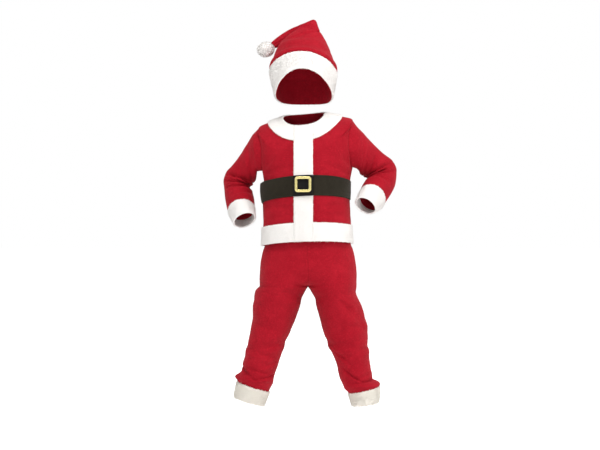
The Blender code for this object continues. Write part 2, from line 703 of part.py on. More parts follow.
def make_hat(finishes):
    surface = Surface()
    rows = [0, 0.2, 0.8, 1, 2, 3, 4, 5, 5.5, 6, 6.5, 7, 7.5, 8, 8.5, 9, 10, 11, 12, 13, 14]
    turns = [360 * j / HAT_COLUMNS for j in range(HAT_COLUMNS)]
    grid = [[surface.add(hat_point(turn, row)) for turn in turns] for row in rows]
    bands = [strip(surface, lower, upper, closed=True) for lower, upper in zip(grid, grid[1:])]
    tip = surface.add(np.mean([surface.points[i] for i in grid[-1]], axis=0))
    cap = []
    for i in range(HAT_COLUMNS):
        cap += surface.face(grid[-1][i], tip, tip, grid[-1][(i + 1) % HAT_COLUMNS])
    faces = [face for band in bands for face in band] + cap
    cloth("hat_crown", surface, faces, -FLEECE, 0, finishes["red"])
    brim = [face for band in bands[: rows.index(HAT_BRIM_ROW)] for face in band]
    cloth("hat_brim", surface, brim, GAP, GAP + PLUSH, finishes["white"], GAP + EDGE)
    make_pompom(finishes["white"])


def make_pompom(finish):
    """A ball of cloth with four-sided locks of pile, apart from each other but for their roots."""
    ball = bmesh.new()
    bmesh.ops.create_cube(ball, size=2)
    bmesh.ops.subdivide_edges(ball, edges=ball.edges[:], cuts=POMPOM_GRID - 1, use_grid_fill=True)
    for vertex in ball.verts:
        even = [math.tan(c * math.pi / 4) for c in vertex.co]
        size = math.sqrt(sum(c * c for c in even))
        vertex.co = [POMPOM_CORE * c / size for c in even]
    roots = ball.faces[:]
    bmesh.ops.inset_individual(ball, faces=roots, thickness=0.35)
    chance = np.random.default_rng(7)
    tips = bmesh.ops.poke(ball, faces=roots)
    for vertex in tips["verts"]:
        reach = POMPOM_REACH * chance.uniform(0.86, 1.0)
        sway = chance.normal(0, 1.0, 3)
        way = np.array(vertex.co) / np.linalg.norm(vertex.co)
        vertex.co = way * reach + sway
    points = [np.array(vertex.co) + np.array(POMPOM) for vertex in ball.verts]
    ball.verts.index_update()
    faces = [[vertex.index for vertex in face.verts] for face in ball.faces]
    ball.free()
    put("pompom", points, faces, finish, smooth=False)


for old in list(bpy.data.objects):
    bpy.data.objects.remove(old)
suit = bpy.data.collections.new("santa_suit")
bpy.context.scene.collection.children.link(suit)

finishes = {
    "red": material("red_fleece", RED, 0.9),
    "white": material("white_plush", WHITE, 0.95),
    "cream": material("cream_fur", CREAM, 0.95),
    "black": material("black_felt", BLACK, 0.85),
    "tab": material("tab_felt", TAB_BLACK, 0.8),
    "gold": material("gold_plastic", GOLD, 0.3, 0.6),
}
make_jacket(finishes)
make_trousers(finishes)
make_hat(finishes)
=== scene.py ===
"""A child's santa suit in its finished cloth: fleece jacket and trousers, plush trims, felt belt and hat.

Lengths in the tables are in millimetres. X runs to the suit's left, -Y is the front, +Z is up, and the
origin is the centre of the neck opening. Each garment is one smooth surface of shared points, cut into its
sewn pieces.
"""

import collections
import functools
import math

import bpy
import numpy as np
from bpy.props import FloatProperty, FloatVectorProperty, PointerProperty
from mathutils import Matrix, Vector, kdtree


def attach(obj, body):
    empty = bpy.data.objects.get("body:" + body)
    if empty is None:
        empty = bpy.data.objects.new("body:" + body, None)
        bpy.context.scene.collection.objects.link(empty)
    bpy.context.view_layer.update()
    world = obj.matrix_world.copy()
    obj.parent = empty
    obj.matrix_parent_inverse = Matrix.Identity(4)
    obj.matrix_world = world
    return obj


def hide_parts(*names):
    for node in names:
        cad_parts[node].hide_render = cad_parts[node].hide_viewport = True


bl_info = {
    "name": "Santa suit",
    "version": (1, 0, 0),
    "blender": (4, 5, 0),
    "location": "3D View > Sidebar > Santa suit",
    "description": "Makes the cloth, plush, belt and stage of a child's santa suit",
    "category": "Object",
}

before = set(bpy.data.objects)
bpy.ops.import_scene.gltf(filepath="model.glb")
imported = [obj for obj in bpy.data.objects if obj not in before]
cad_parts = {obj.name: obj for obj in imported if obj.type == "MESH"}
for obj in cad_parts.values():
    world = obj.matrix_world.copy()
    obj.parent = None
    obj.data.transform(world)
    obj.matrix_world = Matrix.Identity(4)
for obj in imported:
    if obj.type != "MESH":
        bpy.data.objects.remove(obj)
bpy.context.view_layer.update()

MM = 0.001

# Body of the jacket: one row for each ring, from the neck down
Ring = collections.namedtuple(
    "Ring", "center_x half_width front back z_front z_side z_back roll corner armhole"
)
BODY = (
    Ring(2.5, 54, 56, 52, -23, 5, 13, 0.085, 2.4, 15),
    Ring(6, 98, 82, 78, -64, -5, -34, 0.075, 2.2, 19),
    Ring(6, 125, 88, 84, -88, -18, -62, 0.073, 2.8, 20.7),
    Ring(11, 119, 94, 84, -130, -134, -134, 0.045, 2.6, 20.7),
    Ring(11, 114, 97, 82, -154.5, -172, -166, 0.040, 2.4, 30),
    Ring(8.5, 115, 99, 79, -208, -222, -217, 0.045, 2.3, 34),
    Ring(11, 116, 97, 79, -277, -288, -284, 0.032, 2.3, 34),
    Ring(11, 118.5, 96, 80, -326, -335, -332, 0.032, 2.3, 34),
)
NECK, COLLAR_EDGE, SHOULDER, UNDERARM, BELT_TOP, BELT_BOTTOM, BAND_TOP, HEM = range(len(BODY))
BODY_YAW = math.radians(-4.7)

# Sleeves: outer and inner edge of the outline seen from the front, and the depth, from the armhole down
Cut = collections.namedtuple("Cut", "outer_x outer_z inner_x inner_z y depth lift")
RIGHT_SLEEVE = (
    Cut(-134, -43, -122, -141, 12, 46, 0),
    Cut(-148, -68, -124, -150, 22, 42, 2),
    Cut(-168, -97, -126, -161, 34, 40, 3),
    Cut(-187, -121, -133, -171, 46, 38, 2),
    Cut(-206, -142, -138.5, -179, 54, 37, 0),
    Cut(-213, -166, -141.5, -184.5, 54, 37, 8),
    Cut(-211, -192, -138, -194, 43, 37, 19),
    Cut(-207, -218, -131, -214, 27, 37, 26),
    Cut(-199, -246, -128, -240, 9, 36, 28),
)
LEFT_SLEEVE = (
    Cut(145, -26, 142, -133, -9, 45, 0),
    Cut(165, -46, 149, -140, -2, 42, 2),
    Cut(188, -70, 152, -147, 9, 40, 3),
    Cut(211, -91, 160, -152.5, 21, 38, 2),
    Cut(238, -111, 167, -156, 31, 38, 0),
    Cut(250.5, -139, 171, -159, 32, 38, 8),
    Cut(248, -168, 168, -168, 22, 38, 19),
    Cut(236, -194, 156, -185, 6, 37, 29),
    Cut(218, -217, 148, -204, -11, 35, 33),
)
RIGHT_CUFF_END = Cut(-182, -279, -126, -263, -20, 28, 18)
LEFT_CUFF_END = Cut(190, -243, 137.5, -223, -39, 27, 19)

# Trousers: the ring round both legs, then each leg's own outline seen from the front
Hip = collections.namedtuple("Hip", "center_x half_width front back z_middle z_side merge")
HIPS = (
    Hip(13, 98, 78, 70, -276, -276, 0.0),
    Hip(13, 107, 84, 73, -302, -303, 0.0),
    Hip(13.5, 112, 88, 75, -331, -332, 0.0),
    Hip(13.5, 121, 90, 79, -356, -357, 0.0),
    Hip(13.5, 126, 90, 82, -388, -388, 0.0),
    Hip(13.5, 128, 94, 89, -420, -416, 0.16),
    Hip(13.2, 128, 95, 91, -436, -431, 0.40),
    Hip(13, 128, 84, 80, -446, -446, 1.0),
)
Leg = collections.namedtuple("Leg", "outer_x outer_z inner_x inner_z front back")
RIGHT_LEG = (
    Leg(-126, -457, 6, -458, 82, 78),
    Leg(-132, -492, -9, -498, 76, 72),
    Leg(-135.5, -545, -29, -551, 68, 63),
    Leg(-147, -594, -49, -602, 62, 57),
    Leg(-154.5, -632, -62, -641, 56, 54),
    Leg(-161, -667, -75, -680, 50, 53),
    Leg(-172, -698, -91, -724, 45, 53),
)
LEFT_LEG = (
    Leg(140, -462, 22, -460, 82, 78),
    Leg(155, -496, 35.5, -498, 76, 72),
    Leg(169, -549, 52, -558, 67, 62),
    Leg(172, -596, 65.5, -601, 61, 57),
    Leg(176, -634, 85, -642, 55, 54),
    Leg(181, -682, 99, -691, 49, 53),
    Leg(197, -711, 122, -729, 45, 53),
)
RIGHT_LEG_CUFF_END = Leg(-180, -740, -106.5, -761, 43, 50)
LEFT_LEG_CUFF_END = Leg(198, -753, 132, -762, 43, 50)

LEG_ROWS = 16
Roll = collections.namedtuple("Roll", "row height width")  # cloth bunched above the cuffs
RIGHT_ROLLS = (Roll(12.6, 1.5, 0.7), Roll(14.8, 12.5, 0.65))
LEFT_ROLLS = (Roll(13.3, 2.5, 0.7), Roll(15.2, 11.5, 0.65))

# Hat: centre, half-width and half-depth of each ring, from the lower edge to the tip folded down behind
Loop = collections.namedtuple("Loop", "x y z width_x width_z depth_x depth_y depth_z bow")
HAT = (
    Loop(2.5, -6, 59, 74, 0, -5, -88, 40, 23),
    Loop(0, -6, 120, 86.5, -4, 0, -88, 32, 14),
    Loop(0.5, -4, 146, 81, -2, 0, -76, 26, 7),
    Loop(0, 0, 178, 71, -1, 0, -61, 19, 3),
    Loop(0.5, 2, 201, 59.5, 1, 0, -44, 10, 0),
    Loop(7, 2, 219, 45, -1, 0, -27, 8, 0),
    Loop(15.5, 3, 233, 29.5, -4, 0, -14, 5, 0),
    Loop(21, 5, 241, 22, -6, 1, -9, 7, 0),
    Loop(27.5, 14, 248.8, 9, -6, 5, 0, 12, 0),
    Loop(15, 29, 242, 15, -11, 2, 8, 5, 0),
    Loop(-6, 38, 232, 12, -15, 0, 9, 2, 0),
    Loop(-30, 44, 224, 9.5, -14.5, 0, 9, 0, 0),
    Loop(-54, 40, 212, 7, -12, -1, 8.5, 0, 0),
    Loop(-70, 32, 202, 5.5, -10, -2, 7.5, 0, 0),
    Loop(-81.4, 25.8, 195.1, 4, -7, -1, 5, 0, 0),
)

HAT_BRIM_ROW = 1
HAT_STITCH_LIFT = 1.1
HAT_PUFF, HAT_PUFF_REACH = 4.5, 34.0  # how far the crown swells just above the brim, and how high up

# Largest folds: where, which way, how long, wide and deep; a negative depth stands up as a ridge
Fold = collections.namedtuple("Fold", "x z angle length width depth")
FRONT_FOLDS = (
    Fold(-86, -108, 62, 40, 9, 2.5),
    Fold(106, -96, -64, 42, 9, 2.8),
    Fold(-72, -142, 16, 36, 8, 2.2),
    Fold(86, -136, -18, 36, 8, 2.2),
    Fold(-70, -238, -14, 38, 9, 2.2),
    Fold(88, -234, 16, 38, 9, 2.4),
    Fold(-58, -262, 8, 34, 7, 1.8),
    Fold(70, -258, -6, 36, 7, 1.8),
)
BACK_FOLDS = (
    Fold(-70, -110, -60, 42, 10, 2.5),
    Fold(92, -104, 60, 42, 10, 2.5),
    Fold(10, -140, 4, 60, 9, 2.0),
    Fold(-40, -240, 10, 40, 9, 2.2),
    Fold(66, -246, -12, 44, 9, 2.2),
)
# On a tube: down its length in rows, round it in degrees from the outer edge, over the front
Crease = collections.namedtuple("Crease", "row turn slope reach width depth")
SLEEVE_CREASES = (
    Crease(2.6, 150, 0.014, 70, 0.30, 3.0),
    Crease(3.9, 140, 0.013, 80, 0.32, 3.6),
    Crease(4.9, 145, 0.004, 85, 0.30, 4.2),
    Crease(5.9, 140, -0.010, 70, 0.28, 3.6),
    Crease(3.4, 230, -0.012, 60, 0.32, 2.6),
    Crease(5.3, 235, 0.006, 60, 0.30, 2.8),
)
LEG_CREASES = (
    Crease(3.2, 150, 0.010, 60, 0.60, 3.0),
    Crease(6.8, 60, 0.012, 70, 0.50, 3.0),
    Crease(9.1, 120, -0.010, 80, 0.50, 3.6),
    Crease(10.2, 60, 0.010, 70, 0.45, 3.2),
    Crease(5.2, 250, 0.010, 70, 0.60, 3.0),
    Crease(9.6, 270, -0.006, 80, 0.50, 3.4),
)

# Seen in the photograph, finer than the solids carry
FINE_FRONT_FOLDS = (
    Fold(-96, -128, 40, 26, 6, 1.2),
    Fold(-104, -150, 8, 22, 5, 1.1),
    Fold(118, -120, -38, 26, 6, 1.3),
    Fold(112, -148, -8, 22, 5, 1.0),
    Fold(-60, -146, 80, 14, 7, 0.9),
    Fold(-34, -148, 96, 12, 6, 0.7),
    Fold(52, -146, 88, 13, 7, 0.8),
    Fold(84, -146, 100, 14, 7, 0.9),
    Fold(-84, -216, 84, 13, 7, 1.0),
    Fold(-50, -212, 96, 12, 6, 0.8),
    Fold(48, -214, 86, 14, 7, 0.9),
    Fold(92, -214, 98, 12, 7, 0.9),
    Fold(74, -60, 74, 26, 8, 1.0),
    Fold(-70, -72, 108, 24, 8, 0.9),
)
FINE_BACK_FOLDS = (
    Fold(-98, -134, -34, 26, 6, 1.3),
    Fold(112, -128, 36, 26, 6, 1.2),
    Fold(-30, -96, 84, 34, 9, 1.0),
    Fold(48, -92, 96, 30, 9, 0.9),
    Fold(-66, -148, 88, 14, 7, 1.0),
    Fold(-20, -148, 94, 12, 6, 0.9),
    Fold(30, -148, 86, 13, 7, 0.9),
    Fold(80, -148, 98, 13, 7, 1.0),
    Fold(-82, -214, 92, 13, 7, 1.0),
    Fold(-8, -212, 84, 14, 7, 1.0),
    Fold(58, -214, 97, 13, 7, 0.9),
)
FINE_SLEEVE = {
    "right": (
        Crease(3.72, 92, -0.0083, 62, 0.19, 6.2),
        Crease(4.35, 100, 0.0080, 55, 0.16, 3.4),
        Crease(5.25, 96, 0.0010, 58, 0.18, 5.8),
        Crease(6.20, 88, 0.0012, 60, 0.19, 6.2),
        Crease(7.10, 110, -0.0040, 46, 0.18, 4.2),
        Crease(1.30, 70, 0.0090, 46, 0.30, 2.4),
        Crease(4.40, 268, -0.0070, 52, 0.20, 2.2),
        Crease(6.10, 262, 0.0060, 50, 0.20, 2.2),
    ),
    "left": (
        Crease(4.05, 96, -0.0022, 62, 0.18, 6.6),
        Crease(4.62, 92, 0.0034, 58, 0.16, 5.6),
        Crease(5.60, 104, 0.0042, 50, 0.18, 4.6),
        Crease(6.60, 100, -0.0040, 48, 0.18, 4.2),
        Crease(3.20, 112, 0.0100, 52, 0.20, 4.2),
        Crease(1.20, 96, 0.0100, 52, 0.26, 1.8),
        Crease(4.90, 266, 0.0060, 52, 0.20, 2.2),
        Crease(6.40, 258, -0.0050, 50, 0.20, 2.0),
    ),
}
FINE_RIGHT_LEG = (
    Crease(2.2, 40, 0.020, 40, 0.40, 1.4),
    Crease(4.4, 30, 0.012, 44, 0.42, 1.4),
    Crease(13.9, 42, 0.0190, 46, 0.20, 5.6),
    Crease(14.2, 118, -0.0150, 48, 0.20, 5.2),
    Crease(13.3, 84, 0.0060, 40, 0.26, 2.6),
    Crease(11.9, 128, -0.0200, 30, 0.34, 2.4),
    Crease(8.2, 146, -0.0120, 30, 0.40, 1.6),
    Crease(7.6, 250, 0.010, 60, 0.34, 1.8),
    Crease(12.2, 262, -0.010, 60, 0.30, 2.4),
    Crease(13.9, 280, 0.008, 70, 0.24, 4.0),
)
FINE_LEFT_LEG = (
    Crease(1.4, 26, -0.018, 34, 0.34, 1.8),
    Crease(3.8, 68, -0.060, 22, 0.55, -2.2),
    Crease(5.4, 60, -0.040, 26, 0.55, 2.4),
    Crease(7.2, 34, -0.016, 34, 0.40, 1.8),
    Crease(10.9, 122, -0.045, 22, 0.34, 3.4),
    Crease(14.5, 36, 0.0010, 52, 0.18, 5.6),
    Crease(13.2, 106, -0.034, 26, 0.22, 5.0),
    Crease(13.5, 60, 0.006, 34, 0.22, 2.4),
    Crease(6.8, 256, 0.010, 60, 0.34, 1.8),
    Crease(11.4, 250, -0.012, 60, 0.32, 2.2),
    Crease(13.8, 272, -0.010, 70, 0.24, 4.0),
)
HAT_CREASES = (
    Crease(5.0, 56, -0.016, 56, 0.28, 3.0),
    Crease(5.6, 60, 0.008, 60, 0.22, 1.8),
    Crease(6.4, 110, -0.006, 60, 0.22, 1.8),
    Crease(4.2, 150, 0.010, 40, 0.26, 1.4),
    Crease(3.3, 200, 0.008, 46, 0.26, 1.4),
    Crease(4.8, 300, -0.008, 50, 0.26, 1.6),
    Crease(9.6, 120, 0.004, 60, 0.24, 1.2),
    Crease(11.2, 90, -0.004, 60, 0.24, 1.0),
)

# Stops round and down the garments, and the rough lengths between them
COLUMN_STOPS = (0, 2, 6, 8, 10, 15)  # centre front, placket edge, armhole, side seam, armhole, centre back
COLUMN_LENGTHS = (26, 78, 24, 24, 92)
ROW_LENGTHS = (58, 34, 112, 34, 50, 68, 48)
HIP_LENGTHS = (27, 29, 26, 31, 31, 15, 13)
LEG_LENGTH, LEG_ROUND = 310, (190, 190)
HAT_ROUND = (115, 115, 115, 115)
PLACKET_EDGE, FIRST_ARM, SIDE_SEAM, LAST_ARM, CENTRE_BACK = COLUMN_STOPS[1:]
SLEEVE_CUFF_LENGTH, LEG_CUFF_LENGTH = 46.0, 48.0

# Sizes of the pieces
ARMHOLE_TURN = 25.0  # degrees round the sleeve from its top to the armhole's front corner
ARMHOLE_CORNER = math.radians(ARMHOLE_TURN)
ARMHOLE_DEPTH = 49.0
PLACKET_HALF = 24.6
PLACKET_X = 0.6  # the strip hangs straight down this line
GAP = 0.3  # between a piece and the cloth that it lies on
JACKET_EASE, TROUSERS_EASE, HAT_EASE = 0.8, 1.0, 1.0  # how far each garment's cloth wanders in and out
FLEECE, PLUSH, LEG_PLUSH, FELT = 2.0, 5.0, 7.0, 2.0
CLOSE = (0.7, 1.6, 2.8, 4.4)  # rings beside a seam or an edge
FAR = 40.0  # distances to a seam or an edge aren't needed beyond this
STEP = 3.6  # spacing of the points on the cloth
TUFT, LEG_TUFT = 2.2, 3.2  # of a trim's thickness, the part that only its pile reaches
BUCKLE_LIFT, BUCKLE_CORNER = 0.5, 8.0
STITCH_LIFT = 0.2  # the middle of a stitch above its cloth
STITCH_RING = 3  # which of the close rings beside an edge carries the stitches
BELT_SLACK = 8.0  # how far the belt's lower edge stands off the suit's right side
SLACK_START, SLACK_WIDTH, SLACK_TOP, SLACK_HEIGHT = -50, 56, -150, 76  # where it does, in X and in Z
POMPOM, POMPOM_CORE, POMPOM_SQUASH = (-99.0, 20.0, 184.0), 20.0, (1.1, 1.04, 0.93)
POMPOM_STEPS = 24
WAISTBAND_GATHERS = 24
WAISTBAND_HEIGHT = 26.0
WAISTBAND_ROWS = (0.33, 0.67)  # its rows of stretch stitching, as shares of its height
TRIM_EDGE, BRIM_EDGE, CUFF_EDGE, FELT_EDGE = 5.5, 6.0, 5.0, 1.2  # how far in a turned edge is round
PLACKET_PLUMP = 0.5  # how much thicker the front strip is than the other trims
TRIM_RIM, FELT_RIM = 1.2, 1.0  # thickness right at the turned edge


def through(rows, at):
    """The columns of a table of rows, read at any row numbers on a smooth curve that never overshoots."""
    table = np.array(rows, float)
    at = np.asarray(at, float)
    steps = np.diff(table, axis=0)
    slopes = np.zeros_like(table)
    before, after = steps[:-1], steps[1:]
    same_way = before * after > 0
    total = np.where(same_way, before + after, 1.0)
    slopes[1:-1] = np.where(same_way, 2 * before * after / total, 0.0)
    slopes[0], slopes[-1] = steps[0], steps[-1]
    i = np.clip(np.floor(at).astype(int), 0, len(table) - 2)
    f = (at - i)[..., None]
    rise = f * f * (3 - 2 * f)
    start = table[i] * (1 - rise) + table[i + 1] * rise
    return start + slopes[i] * f * (1 - f) ** 2 - slopes[i + 1] * f * f * (1 - f)


def fields(kind, rows, at):
    """The same, with each column under its name."""
    return kind(*np.moveaxis(through(rows, at), -1, 0))


def power(value, exponent):
    """A power that keeps the sign."""
    return np.copysign(np.abs(value) ** exponent, value)


def stack(x, y, z):
    """Points from their three coordinates."""
    return np.stack(np.broadcast_arrays(x, y, z), axis=-1)


def samples(stops, lengths, step, soft=()):
    """Places along a side: even steps between the stops, and close ones on the given sides of soft stops."""
    made = [stops[0]]
    for i, length in enumerate(lengths):
        start, end = stops[i], stops[i + 1]
        close_after, close_before = (i, 1) in soft, (i + 1, -1) in soft
        low = CLOSE[-1] if close_after else 0.0
        high = length - (CLOSE[-1] if close_before else 0.0)
        count = max(1, round((high - low) / step))
        places = list(np.linspace(low, high, count + 1))
        if close_after:
            places = [0.0, *CLOSE[:-1]] + places
        if close_before:
            places = places + [length - d for d in reversed(CLOSE[:-1])] + [length]
        made += [start + (end - start) * place / length for place in places[1:]]
    return np.array(made)


class Surface:
    """The outer surface of a garment: shared points and four-sided faces."""

    def __init__(self):
        self.points = np.zeros((0, 3))
        self.quads = np.zeros((0, 4), int)

    def add(self, points):
        """Adds an array of points and returns the array of their numbers."""
        points = np.asarray(points, float)
        start = len(self.points)
        self.points = np.vstack([self.points, points.reshape(-1, 3)])
        return start + np.arange(points.size // 3).reshape(points.shape[:-1])

    def weave(self, ids, closed=False, over=False, keep=None):
        """Adds faces between the rows of a grid of point numbers, and returns them."""
        right = np.roll(ids, -1, axis=1) if closed else ids[:, 1:]
        left = ids if closed else ids[:, :-1]
        quads = np.stack([left[:-1], left[1:], right[1:], right[:-1]], axis=-1)
        quads = quads[keep] if keep is not None else quads.reshape(-1, 4)
        if over:
            quads = quads[:, ::-1]
        self.quads = np.vstack([self.quads, quads])
        return quads

    def normals(self):
        corners = self.points[self.quads]
        flat = np.cross(corners[:, 2] - corners[:, 0], corners[:, 3] - corners[:, 1])
        total = np.zeros_like(self.points)
        for corner in range(4):
            np.add.at(total, self.quads[:, corner], flat)
        size = np.linalg.norm(total, axis=1, keepdims=True)
        return total / np.where(size > 0, size, 1)

    def ease(self, strength=1.0, seed=1):
        """Lets the cloth wander in and out by a fraction of a wall, so that no panel is drawn too true."""
        self.points += self.normals() * strength * wander(self.points, seed)[:, None]


def wander(points, seed):
    """A smooth, uneven height of about one millimetre each way."""
    chance = np.random.default_rng(seed)
    total = np.zeros(len(points))
    for length, height in ((95.0, 0.55), (61.0, 0.40), (37.0, 0.28), (23.0, 0.17)):
        for _ in range(3):
            way = chance.normal(0, 1, 3)
            way /= np.linalg.norm(way)
            total += height * np.sin(points @ way * (2 * math.pi / length) + chance.uniform(0, 2 * math.pi))
    return total * 0.6


def edges_of(quads):
    """Directed edges of a piece that no other of its faces shares."""
    ahead = np.concatenate([quads[:, [i, (i + 1) % 4]] for i in range(4)])
    ahead = ahead[ahead[:, 0] != ahead[:, 1]]
    span = int(quads.max()) + 1
    code = ahead[:, 0] * span + ahead[:, 1]
    back = ahead[:, 1] * span + ahead[:, 0]
    return ahead[~np.isin(code, back)]


def distance_to(points, ids, marks):
    """How far each of these points lies from the nearest of the marked ones, at most FAR."""
    if len(marks) == 0:
        return np.full(len(ids), FAR)
    tree = kdtree.KDTree(len(marks))
    for number, mark in enumerate(marks):
        tree.insert(points[mark], number)
    tree.balance()
    return np.array([min(tree.find(points[i])[2], FAR) for i in ids])


def fold_depth(folds, x, z):
    """How far the folds press the jacket in, at places given as seen from the front."""
    total = np.zeros(np.broadcast(x, z).shape)
    for fold in folds:
        turn = math.radians(fold.angle)
        along = (x - fold.x) * math.cos(turn) + (z - fold.z) * math.sin(turn)
        across = (z - fold.z) * math.cos(turn) - (x - fold.x) * math.sin(turn)
        shape = np.exp(-((across / fold.width) ** 2))
        shape -= 0.45 * np.exp(-(((across - 1.9 * fold.width) / fold.width) ** 2))
        total += fold.depth * shape * np.exp(-((along / fold.length) ** 4))
    return total


def crease_depth(creases, row, turn):
    """How far the creases press a tube in at a row and a turn."""
    total = np.zeros(np.broadcast(row, turn).shape)
    for crease in creases:
        off = (turn - crease.turn + 180) % 360 - 180
        across = (row - crease.row - crease.slope * off) / crease.width
        shape = np.exp(-(across**2)) - 0.5 * np.exp(-((across - 1.9) ** 2))
        total += crease.depth * shape * np.exp(-((off / crease.reach) ** 4))
    return total


def body_angle(half, ring, edge_y):
    """Angle round the body from centre front to a column of one half, 0 at the front and pi at the back."""
    sharp = ring.corner / 2
    placket = np.arcsin((PLACKET_HALF / ring.half_width) ** sharp)
    front_edge = np.arccos(np.minimum(edge_y / ring.front, 1) ** sharp)
    back_edge = math.pi - np.arccos(np.minimum(edge_y / ring.back, 1) ** sharp)
    knots = [0 * placket, placket, front_edge, 0 * placket + math.pi / 2, back_edge, 0 * placket + math.pi]
    angle = knots[0]
    for i in range(5):
        share = np.clip((half - COLUMN_STOPS[i]) / (COLUMN_STOPS[i + 1] - COLUMN_STOPS[i]), 0, 1)
        angle = angle + (knots[i + 1] - knots[i]) * share
    return angle


def body_point(column, row):
    """Points of the jacket's body: columns run round it from centre front to the suit's left."""
    ring = fields(Ring, BODY, row)
    whole = 2 * COLUMN_STOPS[-1]
    half = column % whole
    side = np.where(half <= whole / 2, 1.0, -1.0)
    half = np.where(side > 0, half, whole - half)
    turn = ARMHOLE_CORNER + (math.pi - 2 * ARMHOLE_CORNER) * np.clip(row - SHOULDER, 0, 1)
    beside_arm = (row > SHOULDER) & (row < UNDERARM)
    edge_y = np.where(beside_arm, ARMHOLE_DEPTH * np.sin(turn), ring.armhole)
    share = edge_y / ring.front
    top, bottom = BODY[SHOULDER], BODY[UNDERARM]
    edge_top = top.z_side - 4
    edge_z = edge_top + (bottom.z_side - edge_top) * (1 - np.cos(turn) / math.cos(ARMHOLE_CORNER)) / 2
    middle = (ring.z_front + ring.z_back) / 2
    lean = (ring.z_back - ring.z_front) / 2
    held_z = (edge_z + lean * share - middle * share**2) / (1 - share**2)
    z_side = np.where(beside_arm, held_z, ring.z_side)
    angle = body_angle(half, ring, edge_y)
    depth = -power(np.cos(angle), 2 / ring.corner)
    local_x = side * ring.half_width * np.abs(np.sin(angle)) ** (2 / ring.corner)
    local_y = depth * np.where(depth < 0, ring.front, ring.back)
    x = ring.center_x + local_x * math.cos(BODY_YAW) - local_y * math.sin(BODY_YAW)
    off_line = PLACKET_X - (ring.center_x + ring.front * math.sin(BODY_YAW))
    x = x + off_line * np.where(depth < 0, np.clip((86 - np.abs(local_x)) / 56, 0, 1) ** 2 * depth**2, 0)
    y = local_x * math.sin(BODY_YAW) + local_y * math.cos(BODY_YAW)
    z = z_side * (1 - depth**2) + middle * depth**2 + lean * depth + ring.roll * (x - ring.center_x)
    folds = np.where(
        depth < 0,
        fold_depth(FRONT_FOLDS + FINE_FRONT_FOLDS, x, z),
        fold_depth(BACK_FOLDS + FINE_BACK_FOLDS, x, z),
    )
    in_by = (folds * np.minimum(1, 2 * np.abs(depth)))[..., None]
    away = stack(local_x / ring.half_width, depth, 0.0)
    return stack(x, y, z) - in_by * away / np.linalg.norm(away, axis=-1, keepdims=True)


def cut_point(cut, turn, in_by=0.0):
    """Points of a sleeve's ring; turn is in degrees from its outer edge over the front."""
    angle = np.radians(turn)
    outer = stack(cut.outer_x, cut.y, cut.outer_z)
    inner = stack(cut.inner_x, cut.y, cut.inner_z)
    centre, across = (outer + inner) / 2, (outer - inner) / 2
    toward = stack(0.0 * cut.depth, -cut.depth, cut.lift)
    place = centre + across * np.cos(angle)[..., None] + toward * np.sin(angle)[..., None]
    away = (place - centre) / np.linalg.norm(place - centre, axis=-1, keepdims=True)
    return place - np.asarray(in_by)[..., None] * away


def hip_point(t, row, side):
    """Points above the crotch: t runs from centre front round the hip to centre back."""
    hip = fields(Hip, HIPS, row)
    angle = math.pi * t
    depth = -np.cos(angle)
    ring_x = hip.half_width * np.abs(np.sin(angle)) ** 0.87
    ring_y = power(depth, 0.87) * np.where(depth < 0, hip.front, hip.back)
    leg_x = hip.half_width * (1 - np.cos(2 * angle)) / 2
    leg_y = -np.sin(2 * angle) * np.where(t < 0.5, hip.front, hip.back)
    x = ring_x * (1 - hip.merge) + leg_x * hip.merge
    y = ring_y * (1 - hip.merge) + leg_y * hip.merge
    z = hip.z_middle + (hip.z_side - hip.z_middle) * x / hip.half_width
    turn = BODY_YAW * np.maximum(0, 1 - row / 5)
    across, along = np.cos(turn), np.sin(turn)
    return stack(hip.center_x + side * x * across - y * along, side * x * along + y * across, z)


def leg_ring(leg, t):
    """Points of a leg's ring: t runs round it from its inner edge over the front."""
    angle = 2 * math.pi * t
    centre_x, across = (leg.outer_x + leg.inner_x) / 2, (leg.inner_x - leg.outer_x) / 2
    centre_z, rise = (leg.outer_z + leg.inner_z) / 2, (leg.inner_z - leg.outer_z) / 2
    depth = np.where(t < 0.5, leg.front, leg.back)
    return stack(centre_x + across * np.cos(angle), -depth * np.sin(angle), centre_z + rise * np.cos(angle))


def leg_point(t, share, side):
    """Points of one leg: share runs from 0 at the crotch to 1 at its lower edge."""
    crotch = HIPS[-1]
    top = Leg(
        crotch.center_x + side * crotch.half_width, crotch.z_side, crotch.center_x, crotch.z_middle,
        crotch.front, crotch.back,
    )
    table = (top,) + (RIGHT_LEG if side < 0 else LEFT_LEG)
    leg = fields(Leg, table, share * (len(table) - 1))
    place = leg_ring(leg, t)
    row = share * LEG_ROWS
    turn = (180 - 360 * t) % 360
    creases = LEG_CREASES + (FINE_RIGHT_LEG if side < 0 else FINE_LEFT_LEG)
    out_by = -crease_depth(creases, row, turn) * np.minimum(1, 4 * share)
    for roll in RIGHT_ROLLS if side < 0 else LEFT_ROLLS:
        lean = 0.2 * np.sin(4 * math.pi * t + roll.row)
        height = roll.height * (0.68 - 0.32 * np.cos(2 * math.pi * t))
        out_by = out_by + height * np.exp(-(((row - roll.row - lean) / roll.width) ** 2))
    middle = stack((leg.outer_x + leg.inner_x) / 2, 0.0, place[..., 2])
    away = place - middle
    return place + out_by[..., None] * away / np.maximum(np.linalg.norm(away, axis=-1, keepdims=True), 1)


